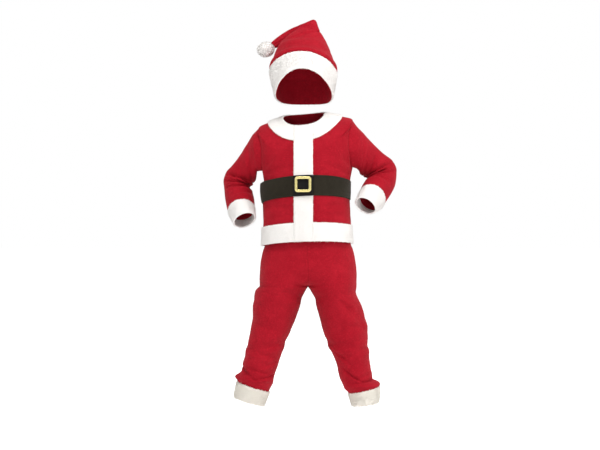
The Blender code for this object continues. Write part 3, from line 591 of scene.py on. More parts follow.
def hat_point(turn, row):
    """Points of the hat: turn is in degrees from the suit's left over the front."""
    loop = fields(Loop, HAT, row)
    angle = np.radians(turn)[..., None]
    wide = stack(loop.width_x, 0.0 * loop.x, loop.width_z)
    deep = stack(loop.depth_x, loop.depth_y, loop.depth_z)
    centre = stack(loop.x, loop.y, loop.z)
    off = wide * np.cos(angle) + deep * np.sin(angle)
    bow = stack(0.0, 0.0, loop.bow * np.sin(np.radians(turn)) ** 2)
    in_by = crease_depth(HAT_CREASES, row, turn)[..., None]
    return centre + bow + off - in_by * off / np.linalg.norm(off, axis=-1, keepdims=True)


# Node trees: what the pile, the stitches and the finishes share

SOCKETS = {float: "NodeSocketFloat", int: "NodeSocketInt", tuple: "NodeSocketColor"}


def new_tree(name, kind, inputs, outputs):
    """A node tree and its two ends. An input is given by its default, or else by its kind of socket."""
    tree = bpy.data.node_groups.new(name, kind)
    for label, value in inputs.items():
        socket_kind = SOCKETS.get(type(value), value)
        socket = tree.interface.new_socket(label, in_out="INPUT", socket_type=socket_kind)
        if socket_kind != value:
            socket.default_value = value
        if socket_kind == "NodeSocketFloat":
            socket.min_value = 0.0
    for label, socket_kind in outputs.items():
        tree.interface.new_socket(label, in_out="OUTPUT", socket_type=socket_kind)
    given = tree.nodes.new("NodeGroupInput")
    made = tree.nodes.new("NodeGroupOutput")
    return tree, given.outputs, made.inputs


def add(tree, kind, inputs=None, **settings):
    """Adds a node with its settings. Each input is linked from another node's output, or gets a value."""
    node = tree.nodes.new(kind)
    for name, value in settings.items():
        setattr(node, name, value)
    for label, value in (inputs or {}).items():
        if hasattr(value, "is_output"):
            tree.links.new(value, node.inputs[label])
        else:
            node.inputs[label].default_value = value
    return node


def link(tree, *pairs):
    for start, end in pairs:
        tree.links.new(start, end)


def maths(tree, operation, first, second):
    return add(tree, "ShaderNodeMath", {0: first, 1: second}, operation=operation).outputs[0]


# Pile and stitches

TILT = 0.25  # how far a lock leans off the cloth's normal, in radians
LOCK_LEAST, LOCK_MOST = (0.75, 0.75, 0.65), (1.3, 1.3, 1.1)  # width, width and length against the middle one
ROOT_SINK = 0.25  # how deep a lock's root lies under the cloth's surface
STITCH_SIZES = {"Pitch": 0.0036, "Stitch length": 0.0029, "Thread radius": 0.00022}


def planted(tree, points, instance, rotation, scale, finish):
    """Puts the instance on every point, as real and smooth geometry in its finish."""
    inputs = {"Points": points, "Instance": instance, "Rotation": rotation, "Scale": scale}
    plants = add(tree, "GeometryNodeInstanceOnPoints", inputs)
    real = add(tree, "GeometryNodeRealizeInstances", {"Geometry": plants.outputs["Instances"]})
    smooth = add(tree, "GeometryNodeSetShadeSmooth", {"Geometry": real.outputs["Geometry"]})
    inputs = {"Geometry": smooth.outputs["Geometry"], "Material": finish}
    return add(tree, "GeometryNodeSetMaterial", inputs).outputs["Geometry"]


@functools.cache
def pile_tree():
    """Scatters leaning, bent, three-sided locks over cloth."""
    inputs = {
        "Cloth": "NodeSocketGeometry",
        "Locks per square metre": 150000.0,
        "Length": 0.004,
        "Root radius": 0.0007,
        "Lean": 0.5,
        "Seed": 1,
        "Finish": "NodeSocketMaterial",
    }
    tree, given, made = new_tree("Pile on cloth", "GeometryNodeTree", inputs, {"Pile": "NodeSocketGeometry"})
    inputs = {"Mesh": given["Cloth"], "Density": given["Locks per square metre"], "Seed": given["Seed"]}
    scatter = add(tree, "GeometryNodeDistributePointsOnFaces", inputs)

    inputs = {
        "Vertices": 3,
        "Side Segments": 2,
        "Radius Top": 0.0,
        "Radius Bottom": given["Root radius"],
        "Depth": given["Length"],
    }
    lock = add(tree, "GeometryNodeMeshCone", inputs, fill_type="NGON")
    place = add(tree, "GeometryNodeInputPosition").outputs["Position"]
    height = add(tree, "ShaderNodeSeparateXYZ", {"Vector": place}).outputs["Z"]
    share = maths(tree, "DIVIDE", height, given["Length"])
    bend = maths(tree, "MULTIPLY", maths(tree, "MULTIPLY", share, height), given["Lean"])
    aside = add(tree, "ShaderNodeCombineXYZ", {"X": bend}).outputs["Vector"]
    bent = add(tree, "GeometryNodeSetPosition", {"Geometry": lock.outputs["Mesh"], "Offset": aside})

    inputs = {0: (-TILT, -TILT, 0.0), 1: (TILT, TILT, 2 * math.pi), "Seed": given["Seed"]}
    tilt = add(tree, "FunctionNodeRandomValue", inputs, data_type="FLOAT_VECTOR")
    turn = add(tree, "FunctionNodeEulerToRotation", {0: tilt.outputs[0]})
    inputs = {"Rotation": scatter.outputs["Rotation"], "Rotate By": turn.outputs[0]}
    stand = add(tree, "FunctionNodeRotateRotation", inputs, rotation_space="LOCAL")
    inputs = {0: LOCK_LEAST, 1: LOCK_MOST, "Seed": given["Seed"]}
    size = add(tree, "FunctionNodeRandomValue", inputs, data_type="FLOAT_VECTOR")

    pile = planted(
        tree, scatter.outputs["Points"], bent.outputs["Geometry"], stand.outputs["Rotation"], size.outputs[0],
        given["Finish"],
    )
    link(tree, (pile, made["Pile"]))
    return tree


@functools.cache
def stitch_tree():
    """Lays short rounded stitches end to end along lines."""
    inputs = {
        "Lines": "NodeSocketGeometry",
        "Pitch": 0.004,
        "Stitch length": 0.003,
        "Thread radius": 0.0003,
        "Finish": "NodeSocketMaterial",
    }
    outputs = {"Stitches": "NodeSocketGeometry"}
    tree, given, made = new_tree("Stitches along lines", "GeometryNodeTree", inputs, outputs)
    curve = add(tree, "GeometryNodeMeshToCurve", {"Mesh": given["Lines"]})
    inputs = {"Curve": curve.outputs["Curve"], "Length": given["Pitch"]}
    even = add(tree, "GeometryNodeResampleCurve", inputs, mode="LENGTH")
    tangent = add(tree, "GeometryNodeInputTangent").outputs["Tangent"]
    along = add(tree, "FunctionNodeAlignRotationToVector", {"Vector": tangent}, axis="X")
    bead = add(tree, "GeometryNodeMeshUVSphere", {"Segments": 6, "Rings": 4, "Radius": 1.0})
    half = maths(tree, "MULTIPLY", given["Stitch length"], 0.5)
    thick = given["Thread radius"]
    size = add(tree, "ShaderNodeCombineXYZ", {"X": half, "Y": thick, "Z": thick})
    stitches = planted(
        tree, even.outputs["Curve"], bead.outputs["Mesh"], along.outputs["Rotation"], size.outputs["Vector"],
        given["Finish"],
    )
    link(tree, (stitches, made["Stitches"]))
    return tree


def grow(name, base, tree, values):
    """Runs a node tree on a base mesh with the given inputs, and keeps the result as a plain piece."""
    holder = bpy.data.objects.new(name + "_base", base)
    bpy.context.scene.collection.objects.link(holder)
    modifier = holder.modifiers.new("Grow", "NODES")
    modifier.node_group = tree
    sockets = {item.name: item.identifier for item in tree.interface.items_tree if item.in_out == "INPUT"}
    for label, value in values.items():
        modifier[sockets[label]] = value
    evaluated = holder.evaluated_get(bpy.context.evaluated_depsgraph_get())
    mesh = bpy.data.meshes.new_from_object(evaluated)
    mesh.name = name
    piece = bpy.data.objects.new(name, mesh)
    bpy.context.scene.collection.objects.link(piece)
    bpy.data.objects.remove(holder)
    if not mesh.polygons:
        raise RuntimeError(name + " came out empty")
    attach(piece, "root")
    return piece


def sew(name, lines, closed, finish):
    """Rows of stitches along lines of points in millimetres."""
    points, edges = [], []
    for line in lines:
        start = sum(len(p) for p in points)
        points.append(line)
        edges += [(start + i, start + i + 1) for i in range(len(line) - 1)]
        if closed:
            edges.append((start + len(line) - 1, start))
    base = bpy.data.meshes.new(name + "_lines")
    base.from_pydata((np.vstack(points) * MM).tolist(), edges, [])
    return grow(name, base, stitch_tree(), {**STITCH_SIZES, "Finish": finish})


def make_pile(piece, cloth, high, length, density, finish):
    """Plants the pile on a piece's outer surface."""
    base = bpy.data.meshes.new(piece.name + "_roots")
    base.from_pydata((cloth.raised(high - ROOT_SINK) * MM).tolist(), [], polygons(cloth.quads))
    settings = bpy.context.scene.suit_pile
    values = {
        "Locks per square metre": density,
        "Length": length,
        "Root radius": 0.5 * settings.spread / math.sqrt(density),
        "Lean": settings.lean,
        "Seed": len(piece.name),
        "Finish": finish,
    }
    return grow(piece.name.rsplit("_", 1)[0] + "_pile", base, pile_tree(), values)


# Finishes


def in_place(tree):
    """Object coordinates: every pattern here is fixed to its piece."""
    return add(tree, "ShaderNodeTexCoord").outputs["Object"]


def noise(tree, vector, scale, detail=3.0, roughness=0.55):
    inputs = {"Vector": vector, "Scale": scale, "Detail": detail, "Roughness": roughness}
    return add(tree, "ShaderNodeTexNoise", inputs).outputs["Fac"]


def spread_out(tree, value, low, high, to_low=0.0, to_high=1.0):
    inputs = {"Value": value, "From Min": low, "From Max": high, "To Min": to_low, "To Max": to_high}
    return add(tree, "ShaderNodeMapRange", inputs).outputs["Result"]


def mixed(tree, factor, first, second):
    inputs = {"Factor": factor, "A": first, "B": second}
    return add(tree, "ShaderNodeMix", inputs, data_type="RGBA").outputs["Result"]


@functools.cache
def napped_cloth():
    """Brushed cloth: a felted nap, small pills, a mottle where the nap was stroked, and painted shade along
    the seams.
    """
    inputs = {
        "Colour": (0.5, 0.02, 0.03, 1),
        "Raised": (0.6, 0.05, 0.06, 1),
        "Deep": (0.3, 0.01, 0.02, 1),
        "Nap per metre": 900.0,
        "Pills per metre": 260.0,
        "Seam": 0.0,
    }
    outputs = {"Colour": "NodeSocketColor", "Roughness": "NodeSocketFloat", "Height": "NodeSocketFloat"}
    tree, given, made = new_tree("Napped cloth", "ShaderNodeTree", inputs, outputs)
    place = in_place(tree)
    nap = noise(tree, place, given["Nap per metre"], 4.0, 0.5)
    pills = noise(tree, place, given["Pills per metre"], 2.0, 0.5)
    stroked = noise(tree, place, 26.0)
    base = mixed(tree, spread_out(tree, nap, 0.35, 0.7), given["Deep"], given["Colour"])
    base = mixed(tree, spread_out(tree, pills, 0.52, 0.75, 0.0, 0.55), base, given["Raised"])
    base = mixed(tree, spread_out(tree, stroked, 0.40, 0.70, 0.0, 0.30), base, given["Raised"])
    # painted shade: along the seams the colour is drawn towards the deep tone, as shade in their grooves
    base = mixed(tree, maths(tree, "MULTIPLY", given["Seam"], 0.25), base, given["Deep"])
    link(
        tree,
        (base, made["Colour"]),
        (spread_out(tree, nap, 0.3, 0.7, 1.0, 0.78), made["Roughness"]),
        (maths(tree, "ADD", nap, maths(tree, "MULTIPLY", pills, 1.4)), made["Height"]),
    )
    return tree


@functools.cache
def pile_shades():
    """White or cream pile: locks differ a little from one to the next, and gather in soft clumps."""
    inputs = {
        "Colour": (0.9, 0.88, 0.84, 1),
        "Shade": (0.8, 0.78, 0.72, 1),
        "Locks per metre": 420.0,
        "Clumps per metre": 70.0,
    }
    outputs = {"Colour": "NodeSocketColor", "Height": "NodeSocketFloat"}
    tree, given, made = new_tree("Pile shades", "ShaderNodeTree", inputs, outputs)
    place = in_place(tree)
    locks = noise(tree, place, given["Locks per metre"], 2.0, 0.5)
    clumps = noise(tree, place, given["Clumps per metre"], 3.0, 0.5)
    base = mixed(tree, spread_out(tree, locks, 0.35, 0.65, 0.5, 0.0), given["Colour"], given["Shade"])
    base = mixed(tree, spread_out(tree, clumps, 0.38, 0.62, 0.45, 0.0), base, given["Shade"])
    link(tree, (base, made["Colour"]), (maths(tree, "ADD", locks, clumps), made["Height"]))
    return tree


def new_material(name, roughness, **values):
    """A material with its Principled shader's plain values, each named as its socket is."""
    made = bpy.data.materials.new(name)
    made.use_nodes = True
    shader = made.node_tree.nodes["Principled BSDF"]
    shader.inputs["Roughness"].default_value = roughness
    for label, value in values.items():
        shader.inputs[label.replace("_", " ")].default_value = value
    return made, made.node_tree, shader


def bumped(tree, shader, height, distance):
    bump = add(tree, "ShaderNodeBump", {"Height": height, "Distance": distance})
    link(tree, (bump.outputs["Normal"], shader.inputs["Normal"]))


def chosen(name):
    """A colour from the settings."""
    return (*getattr(bpy.context.scene.suit_colours, name), 1.0)


def shade_of(colour, share, lift=0.0):
    """A darker or lighter tone of a colour."""
    return (*(min(1.0, c * share + lift) for c in colour[:3]), 1.0)


def napped(name, colour, raised, deep, nap, pills, distance, sheen, tint):
    """Fleece or felt, from its tones and from the size of its nap and pills."""
    made, tree, shader = new_material(
        name, 0.9, Sheen_Weight=sheen, Sheen_Tint=tint, Sheen_Roughness=0.45, Specular_IOR_Level=0.15
    )
    inputs = {
        "Colour": colour,
        "Raised": raised,
        "Deep": deep,
        "Nap per metre": nap,
        "Pills per metre": pills,
        # the seam mark brings painted shade into the colour along the seam grooves
        "Seam": add(tree, "ShaderNodeAttribute", attribute_name="seam").outputs["Fac"],
    }
    cloth = add(tree, "ShaderNodeGroup", inputs, node_tree=napped_cloth()).outputs
    link(
        tree,
        (cloth["Colour"], shader.inputs["Base Color"]),
        (cloth["Roughness"], shader.inputs["Roughness"]),
    )
    bumped(tree, shader, cloth["Height"], distance)
    return made


@functools.cache
def red_fleece():
    red = chosen("red")
    raised, deep = shade_of(red, 1.22, 0.006), shade_of(red, 0.70)
    return napped("red_fleece", red, raised, deep, 850.0, 240.0, 0.0006, 0.10, (1.0, 0.22, 0.22, 1))


@functools.cache
def black_felt():
    black = chosen("felt")
    raised, deep = shade_of(black, 1.35, 0.004), shade_of(black, 0.6)
    return napped("black_felt", black, raised, deep, 1300.0, 420.0, 0.0004, 0.08, (0.9, 0.85, 0.75, 1))


@functools.cache
def tab_felt():
    black = chosen("tab")
    raised, deep = shade_of(black, 1.35, 0.003), shade_of(black, 0.6)
    return napped("tab_felt", black, raised, deep, 1300.0, 420.0, 0.0004, 0.05, (0.9, 0.9, 0.9, 1))


def plush(name, colour, shade, distance, locks, clumps):
    """The trims' base cloth or its pile, whose hollows have that share of the colour."""
    made, tree, shader = new_material(
        name, 0.95, Sheen_Weight=0.25, Sheen_Tint=(1, 0.98, 0.95, 1), Sheen_Roughness=0.6,
        Specular_IOR_Level=0.1,
    )
    inputs = {
        "Colour": colour,
        "Shade": shade_of(colour, shade),
        "Locks per metre": locks,
        "Clumps per metre": clumps,
    }
    pile = add(tree, "ShaderNodeGroup", inputs, node_tree=pile_shades()).outputs
    link(tree, (pile["Colour"], shader.inputs["Base Color"]))
    bumped(tree, shader, pile["Height"], distance)
    return made


@functools.cache
def white_plush():
    return plush("white_plush", chosen("white"), 0.965, 0.0006, 420.0, 70.0)


@functools.cache
def white_pile():
    return plush("white_pile", chosen("white"), 0.98, 0.0002, 300.0, 60.0)


@functools.cache
def cream_fur():
    return plush("cream_fur", chosen("cream"), 0.94, 0.0007, 340.0, 55.0)


@functools.cache
def cream_pile():
    return plush("cream_pile", chosen("cream"), 0.96, 0.0003, 240.0, 50.0)


@functools.cache
def gold_plastic():
    """Metallized plastic, a little rubbed and finely grained."""
    gold = chosen("gold")
    made, tree, shader = new_material(
        "gold_plastic", 0.24, Metallic=0.75, Coat_Weight=0.6, Coat_Roughness=0.12
    )
    place = in_place(tree)
    rub = noise(tree, place, 120.0, 4.0)
    fine = noise(tree, place, 900.0)
    tone = mixed(tree, spread_out(tree, rub, 0.35, 0.7), gold, shade_of(gold, 0.86))
    link(
        tree,
        (tone, shader.inputs["Base Color"]),
        (spread_out(tree, rub, 0.3, 0.7, 0.20, 0.32), shader.inputs["Roughness"]),
    )
    bumped(tree, shader, maths(tree, "ADD", maths(tree, "MULTIPLY", fine, 0.25), rub), 0.0001)
    return made


def thread(name, colour):
    """Twisted thread, a little uneven in tone."""
    made, tree, shader = new_material(name, 0.6)
    fibre = noise(tree, in_place(tree), 2600.0, 2.0)
    tone = mixed(tree, spread_out(tree, fibre, 0.3, 0.7), colour, shade_of(colour, 0.7))
    link(tree, (tone, shader.inputs["Base Color"]))
    bumped(tree, shader, fibre, 0.0001)
    return made


@functools.cache
def red_thread():
    return thread("red_thread", shade_of(chosen("red"), 0.8))


@functools.cache
def black_thread():
    return thread("black_thread", shade_of(chosen("tab"), 1.6))


# Cloth: from a garment's surface to a sewn piece

SEAM_DIP, SEAM_DIP_WIDTH = 0.8, 1.5
WELT_HEIGHT, WELT_PLACE, WELT_WIDTH = 0.35, 4.6, 2.6
JACKET_SEAM, TROUSERS_SEAM = 0.5, 0.35  # how much of that groove each garment's seams have


def seam_groove(distance):
    """How far the cloth dips into a sewn seam, with a soft welt beside it."""
    dip = SEAM_DIP * np.exp(-((distance / SEAM_DIP_WIDTH) ** 2))
    return WELT_HEIGHT * np.exp(-(((distance - WELT_PLACE) / WELT_WIDTH) ** 2)) - dip


def rolled_edge(distance, rim, full, reach):
    """A cloth's height from its turned edge inwards, on a quarter round."""
    share = np.clip(distance / reach, 0, 1)
    return rim + (full - rim) * np.sqrt(np.maximum(0, 1 - (1 - share) ** 2))


def polygons(quads):
    """Faces as tuples, where a four-sided face with a doubled corner is a triangle."""
    return [tuple(dict.fromkeys(quad)) for quad in quads.tolist()]


def put(name, points, faces, finish, node):
    """Makes the named piece from points in millimetres, rides it and hides the solid that it stands for."""
    mesh = bpy.data.meshes.new(name)
    mesh.from_pydata((points * MM).tolist(), [], faces)
    mesh.validate()
    mesh.shade_smooth()
    mesh.materials.append(finish)
    piece = bpy.data.objects.new(name, mesh)
    bpy.context.scene.collection.objects.link(piece)
    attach(piece, "root")
    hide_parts(node)
    return piece


class Cloth:
    """One cut piece: where its outer surface lies, and how far each point is from its seams and edges."""

    def __init__(self, surface, normals, quads, seam_ids=()):
        self.used, index = np.unique(quads, return_inverse=True)
        self.quads = index.reshape(quads.shape)
        self.points = surface.points[self.used]
        self.normals = normals[self.used]
        self.rim = edges_of(self.quads)
        free = np.unique(edges_of(surface.quads))
        rim_ids = self.used[np.unique(self.rim)] if len(self.rim) else np.zeros(0, int)
        seams = np.union1d(np.setdiff1d(rim_ids, free), np.intersect1d(seam_ids, self.used))
        self.to_seam = distance_to(surface.points, self.used, seams.astype(int))
        self.to_rim = distance_to(surface.points, self.used, rim_ids)

    def raised(self, height):
        """Its points, moved out along the normals."""
        return self.points + self.normals * np.broadcast_to(height, len(self.points))[:, None]

    def shell(self, high, low):
        """Points and faces of its wall, from low to high along the normals."""
        count = len(self.points)
        faces = polygons(self.quads) + polygons(self.quads[:, ::-1] + count)
        faces += [(b, a, a + count, b + count) for a, b in self.rim.tolist()]
        return np.vstack([self.raised(high), self.raised(low)]), faces


def mark(piece, name, values):
    """Keeps a number for each point of the piece, for its material."""
    layer = piece.data.attributes.new(name, "FLOAT", "POINT")
    layer.data.foreach_set("value", np.asarray(values, np.float32))


def make_cloth(name, cloth, high, low, finish, seam_shade_reach=2.0):
    """Makes a cut piece's wall, with a mark for painted shade along its seams, fading out past the given
    reach.
    """
    points, faces = cloth.shell(high, low)
    piece = put(name + "_cloth", points, faces, finish, name)
    # the seam mark is painted shade: it darkens the cloth's colour in and beside the seam grooves
    seam_shade = np.exp(-((cloth.to_seam / seam_shade_reach) ** 2))
    mark(piece, "seam", np.concatenate([seam_shade, seam_shade]))
    return piece


# Jacket


def mirrored(half):
    """Columns all the way round, from those of the suit's left half."""
    whole = 2 * half[-1]
    return np.concatenate([half, whole - half[1:-1][::-1]])


@functools.cache
def jacket_grid():
    """The jacket's surface with both sleeves, and the numbers of its points and faces."""
    soft_columns = {(1, -1), (1, 1), (2, -1), (3, -1), (3, 1), (4, 1)}
    columns = mirrored(samples(COLUMN_STOPS, COLUMN_LENGTHS, STEP, soft_columns))
    edges = {(row, way) for row in (COLLAR_EDGE, BELT_TOP, BELT_BOTTOM, BAND_TOP) for way in (-1, 1)}
    soft_rows = edges | {(NECK, 1), (SHOULDER, -1), (UNDERARM, 1), (HEM, -1)}
    rows = samples(range(len(BODY)), ROW_LENGTHS, STEP, soft_rows)
    surface = Surface()
    ids = surface.add(body_point(columns[None, :], rows[:, None]))
    width = 2 * CENTRE_BACK
    column_mid = (columns + np.append(columns[1:], width)) / 2
    row_mid = (rows[:-1] + rows[1:]) / 2
    at_arm = np.abs(np.abs(column_mid - CENTRE_BACK) - (CENTRE_BACK - SIDE_SEAM)) < LAST_ARM - SIDE_SEAM
    hole = ((row_mid > SHOULDER) & (row_mid < UNDERARM))[:, None] & at_arm[None, :]
    grid = {"surface": surface, "ids": ids, "columns": columns, "rows": rows}
    grid["column_mid"], grid["row_mid"], grid["hole"] = column_mid, row_mid, hole
    surface.weave(ids, closed=True, keep=~hole)
    top, bottom = beside(rows, SHOULDER, 0), beside(rows, UNDERARM, 0)
    for side in ("left", "right"):
        half_columns = columns if side == "left" else np.abs(columns - width)
        cells, turns = armhole(half_columns, rows, top, bottom, 1 if side == "left" else -1)
        loop = np.array([ids[i, j] for i, j in cells])
        grid[side] = sleeve_faces(surface, loop, np.array(turns), side)
    surface.ease(JACKET_EASE, 3)
    grid["normals"] = surface.normals()
    return grid


def armhole(half_columns, rows, top, bottom, step):
    """The armhole's cells in order round the sleeve, and how far round it each one lies, in degrees."""
    centre, front, back = (beside(half_columns, stop, 0) for stop in (SIDE_SEAM, FIRST_ARM, LAST_ARM))
    corner, side = ARMHOLE_TURN, 180 - 2 * ARMHOLE_TURN
    stretches = (
        ([(top, j) for j in range(centre, front, -step)], lambda c, r: corner * (SIDE_SEAM - c) / 2),
        ([(i, front) for i in range(top, bottom + 1)], lambda c, r: corner + side * (r - SHOULDER)),
        (
            [(bottom, j) for j in range(front + step, back, step)],
            lambda c, r: 180 + corner * (c - SIDE_SEAM) / 2,
        ),
        ([(i, back) for i in range(bottom, top - 1, -1)], lambda c, r: 180 + corner + side * (UNDERARM - r)),
        (
            [(top, j) for j in range(back - step, centre, -step)],
            lambda c, r: 360 - corner + corner * (LAST_ARM - c) / 2,
        ),
    )
    cells, turns = [], []
    for stretch, turn_at in stretches:
        cells += stretch
        turns += [turn_at(float(half_columns[j]), float(rows[i])) for i, j in stretch]
    return cells, turns


def sleeve_faces(surface, loop, turns, side):
    """Adds one sleeve and its cuff from the armhole's points down, and returns their faces and seams."""
    table = RIGHT_SLEEVE if side == "right" else LEFT_SLEEVE
    end = RIGHT_CUFF_END if side == "right" else LEFT_CUFF_END
    last = len(table) - 1
    rows = samples(range(last + 1), (30,) * last, STEP, {(last, -1)})
    first = cut_point(fields(Cut, table, 0 * turns), turns, crease_depth(SLEEVE_CREASES, 0 * turns, turns))
    hole = surface.points[loop]
    shares = samples((0, 1), (14,), STEP, {(0, 1)})[1:-1]
    start = hole[None] * (1 - shares[:, None, None]) + first[None] * shares[:, None, None]
    creases = SLEEVE_CREASES + FINE_SLEEVE[side]
    cut = fields(Cut, table, rows[:, None] + 0 * turns[None, :])
    arm = cut_point(cut, turns[None, :], crease_depth(creases, rows[:, None], turns[None, :]))
    ids = np.vstack([loop[None], surface.add(start), surface.add(arm)])
    over = side == "left"
    sleeve = surface.weave(ids, closed=True, over=over)
    shares = samples((0, 1), (SLEEVE_CUFF_LENGTH,), STEP, {(0, 1), (1, -1)})[1:]
    cut = fields(Cut, (table[-1], end), shares[:, None] + 0 * turns[None, :])
    below = cut_point(cut, turns[None, :] + 0 * shares[:, None])
    settle = np.exp(-((shares * SLEEVE_CUFF_LENGTH / 6) ** 2))[:, None, None]
    below = below + (arm[-1] - cut_point(fields(Cut, table, 0 * turns + last), turns))[None] * settle
    cuff_ids = np.vstack([ids[-1][None], surface.add(below)])
    cuff = surface.weave(cuff_ids, closed=True, over=over)
    under = beside(turns, 180, 0)
    return {"sleeve": sleeve, "cuff": cuff, "seam": ids[:, under], "rows": ids, "cuff_ids": cuff_ids}


def jacket_faces(keep):
    """Faces of the jacket's body whose middle row and column pass keep."""
    grid = jacket_grid()
    ids, hole = grid["ids"], grid["hole"]
    right = np.roll(ids, -1, axis=1)
    quads = np.stack([ids[:-1], ids[1:], right[1:], right[:-1]], axis=-1)
    half = np.minimum(grid["column_mid"], 2 * CENTRE_BACK - grid["column_mid"])
    side = grid["column_mid"] < CENTRE_BACK
    chosen = keep(grid["row_mid"][:, None], half[None, :], side[None, :]) & ~hole
    return quads[chosen]


def jacket_cloth(keep):
    """The part of the jacket's surface whose faces pass keep."""
    grid = jacket_grid()
    return Cloth(grid["surface"], grid["normals"], jacket_faces(keep))


def puckered(cloth, strength=0.25, pitch=9.0):
    """Small even puckers that run a few millimetres out from the seams."""
    wave = np.sin(cloth.points.sum(axis=1) * 2 * math.pi / pitch + wander(cloth.points, 11) * 2)
    return strength * wave * np.exp(-((cloth.to_seam / 6.0) ** 2))


def make_jacket():
    """The three panels and both sleeves, with their seams and edge stitching."""
    red = red_fleece()
    grid = jacket_grid()
    panels = {
        "jacket_front_left": lambda row, half, left: (half < SIDE_SEAM) & left & (row > 0),
        "jacket_front_right": lambda row, half, left: (half < SIDE_SEAM) & ~left & (row > 0),
        "jacket_back": lambda row, half, left: (half > SIDE_SEAM) & (row > 0),
    }
    for name, keep in panels.items():
        cloth = jacket_cloth(keep)
        high = JACKET_SEAM * seam_groove(cloth.to_seam) + puckered(cloth)
        make_cloth(name, cloth, np.minimum(high, 0.25), -FLEECE, red)
    stitch_jacket(grid)
    for side in ("left", "right"):
        sleeve = grid[side]
        cloth = Cloth(grid["surface"], grid["normals"], sleeve["sleeve"], sleeve["seam"])
        high = JACKET_SEAM * seam_groove(cloth.to_seam) + puckered(cloth)
        make_cloth("sleeve_" + side, cloth, high, -FLEECE, red)


def lifted(surface, normals, ids, height):
    """A line of the surface's points, moved out."""
    return surface.points[ids] + normals[ids] * np.broadcast_to(height, len(ids))[:, None]


def beside(values, stop, steps):
    """The number of the row or column that lies this many close rings past a stop."""
    return int(np.argmin(np.abs(values - stop))) + steps


def beyond_placket(columns):
    """Which columns lie outside the front strip."""
    return (columns > PLACKET_EDGE) & (columns < 2 * CENTRE_BACK - PLACKET_EDGE)


def stitch_jacket(grid):
    """Edge stitching in red thread on the fleece beside each trim, and round the sleeves' lower ends."""
    surface, normals, ids = grid["surface"], grid["normals"], grid["ids"]
    columns, rows = grid["columns"], grid["rows"]
    open_round = beyond_placket(columns)
    lines = []
    for row, steps in ((COLLAR_EDGE, STITCH_RING), (BAND_TOP, -STITCH_RING)):
        lines.append(lifted(surface, normals, ids[beside(rows, row, steps), open_round], STITCH_LIFT))
    down = (rows > COLLAR_EDGE) & (rows < BAND_TOP)
    other_edge = 2 * CENTRE_BACK - PLACKET_EDGE
    for column, steps in ((PLACKET_EDGE, STITCH_RING), (other_edge, -STITCH_RING)):
        lines.append(lifted(surface, normals, ids[down, beside(columns, column, steps)], STITCH_LIFT))
    sew("jacket_stitches", lines, False, red_thread())
    last = -1 - STITCH_RING
    lines = [lifted(surface, normals, grid[side]["rows"][last], STITCH_LIFT) for side in ("left", "right")]
    sew("sleeve_stitches", lines, True, red_thread())


def under_belt(row, half, left):
    """Which faces lie between the belt's edges."""
    return (row > BELT_TOP) & (row < BELT_BOTTOM)


TRIMS = {
    "collar": lambda row, half, left: (row < COLLAR_EDGE) & (half > PLACKET_EDGE),
    "hem_band": lambda row, half, left: (row > BAND_TOP) & (half > PLACKET_EDGE),
    "placket": lambda row, half, left: (row > 0) & (half < PLACKET_EDGE),
    "belt": lambda row, half, left: under_belt(row, half, left) & (half > PLACKET_EDGE),
    "belt_tab": lambda row, half, left: under_belt(row, half, left) & (half < PLACKET_EDGE),
}


def uneven(cloth, near, height, seed):
    """A trim's plumpness: it wanders by this height, and near, the way to an edge, fades it out there."""
    return height * wander(cloth.points, seed) * np.minimum(1, near / 6)


def make_trims():
    """The collar, front strip, hem band and sleeve cuffs, each with its pile."""
    white, settings = white_plush(), bpy.context.scene.suit_pile
    for name in ("collar", "hem_band", "placket"):
        cloth = jacket_cloth(TRIMS[name])
        thick = PLUSH - TUFT + (PLACKET_PLUMP if name == "placket" else 0.0)
        high = GAP + rolled_edge(cloth.to_rim, TRIM_RIM, thick, TRIM_EDGE)
        high = high + uneven(cloth, cloth.to_rim, 0.35, 21)
        piece = make_cloth(name, cloth, high, GAP, white)
        if name == "placket":
            cloth = bare_under_belt(cloth)
        make_pile(piece, cloth, high, settings.tuft_length, settings.tufts, white_pile())
    for side in ("left", "right"):
        make_cuff("sleeve_cuff_" + side, jacket_grid(), side, PLUSH - FLEECE - TUFT,
                  settings.tuft_length, settings.tufts, white, white_pile())


def bare_under_belt(cloth):
    """The same cloth without the faces that the belt presses flat."""
    pressed = jacket_cloth(under_belt)
    kept = ~np.isin(cloth.used, pressed.used)[cloth.quads].all(axis=1)
    cloth.quads = cloth.quads[kept]
    return cloth


def make_cuff(name, grid, side, full, length, tufts, finish, pile):
    """Makes a sleeve's or a leg's cuff, this full between its rounded ends, and its pile."""
    points, ids = grid["surface"].points, grid[side]["cuff_ids"]
    cloth = Cloth(grid["surface"], grid["normals"], grid[side]["cuff"])
    near = np.minimum(distance_to(points, cloth.used, ids[-1]), distance_to(points, cloth.used, ids[0]))
    high = rolled_edge(near, -0.2, full, CUFF_EDGE) + uneven(cloth, near, 0.3, 31)
    piece = make_cloth(name, cloth, high, -FLEECE, finish)
    make_pile(piece, cloth, high, length, tufts, pile)


def belt_slack(points):
    """How far the belt stands off the jacket, where it hangs loose at the suit's right side."""
    aside = np.clip((SLACK_START - points[:, 0]) / SLACK_WIDTH, 0, 1)
    down = np.clip((SLACK_TOP - points[:, 2]) / SLACK_HEIGHT, 0, 1)
    return BELT_SLACK * (3 * aside**2 - 2 * aside**3) * np.sin(math.pi * down**0.8) ** 0.8


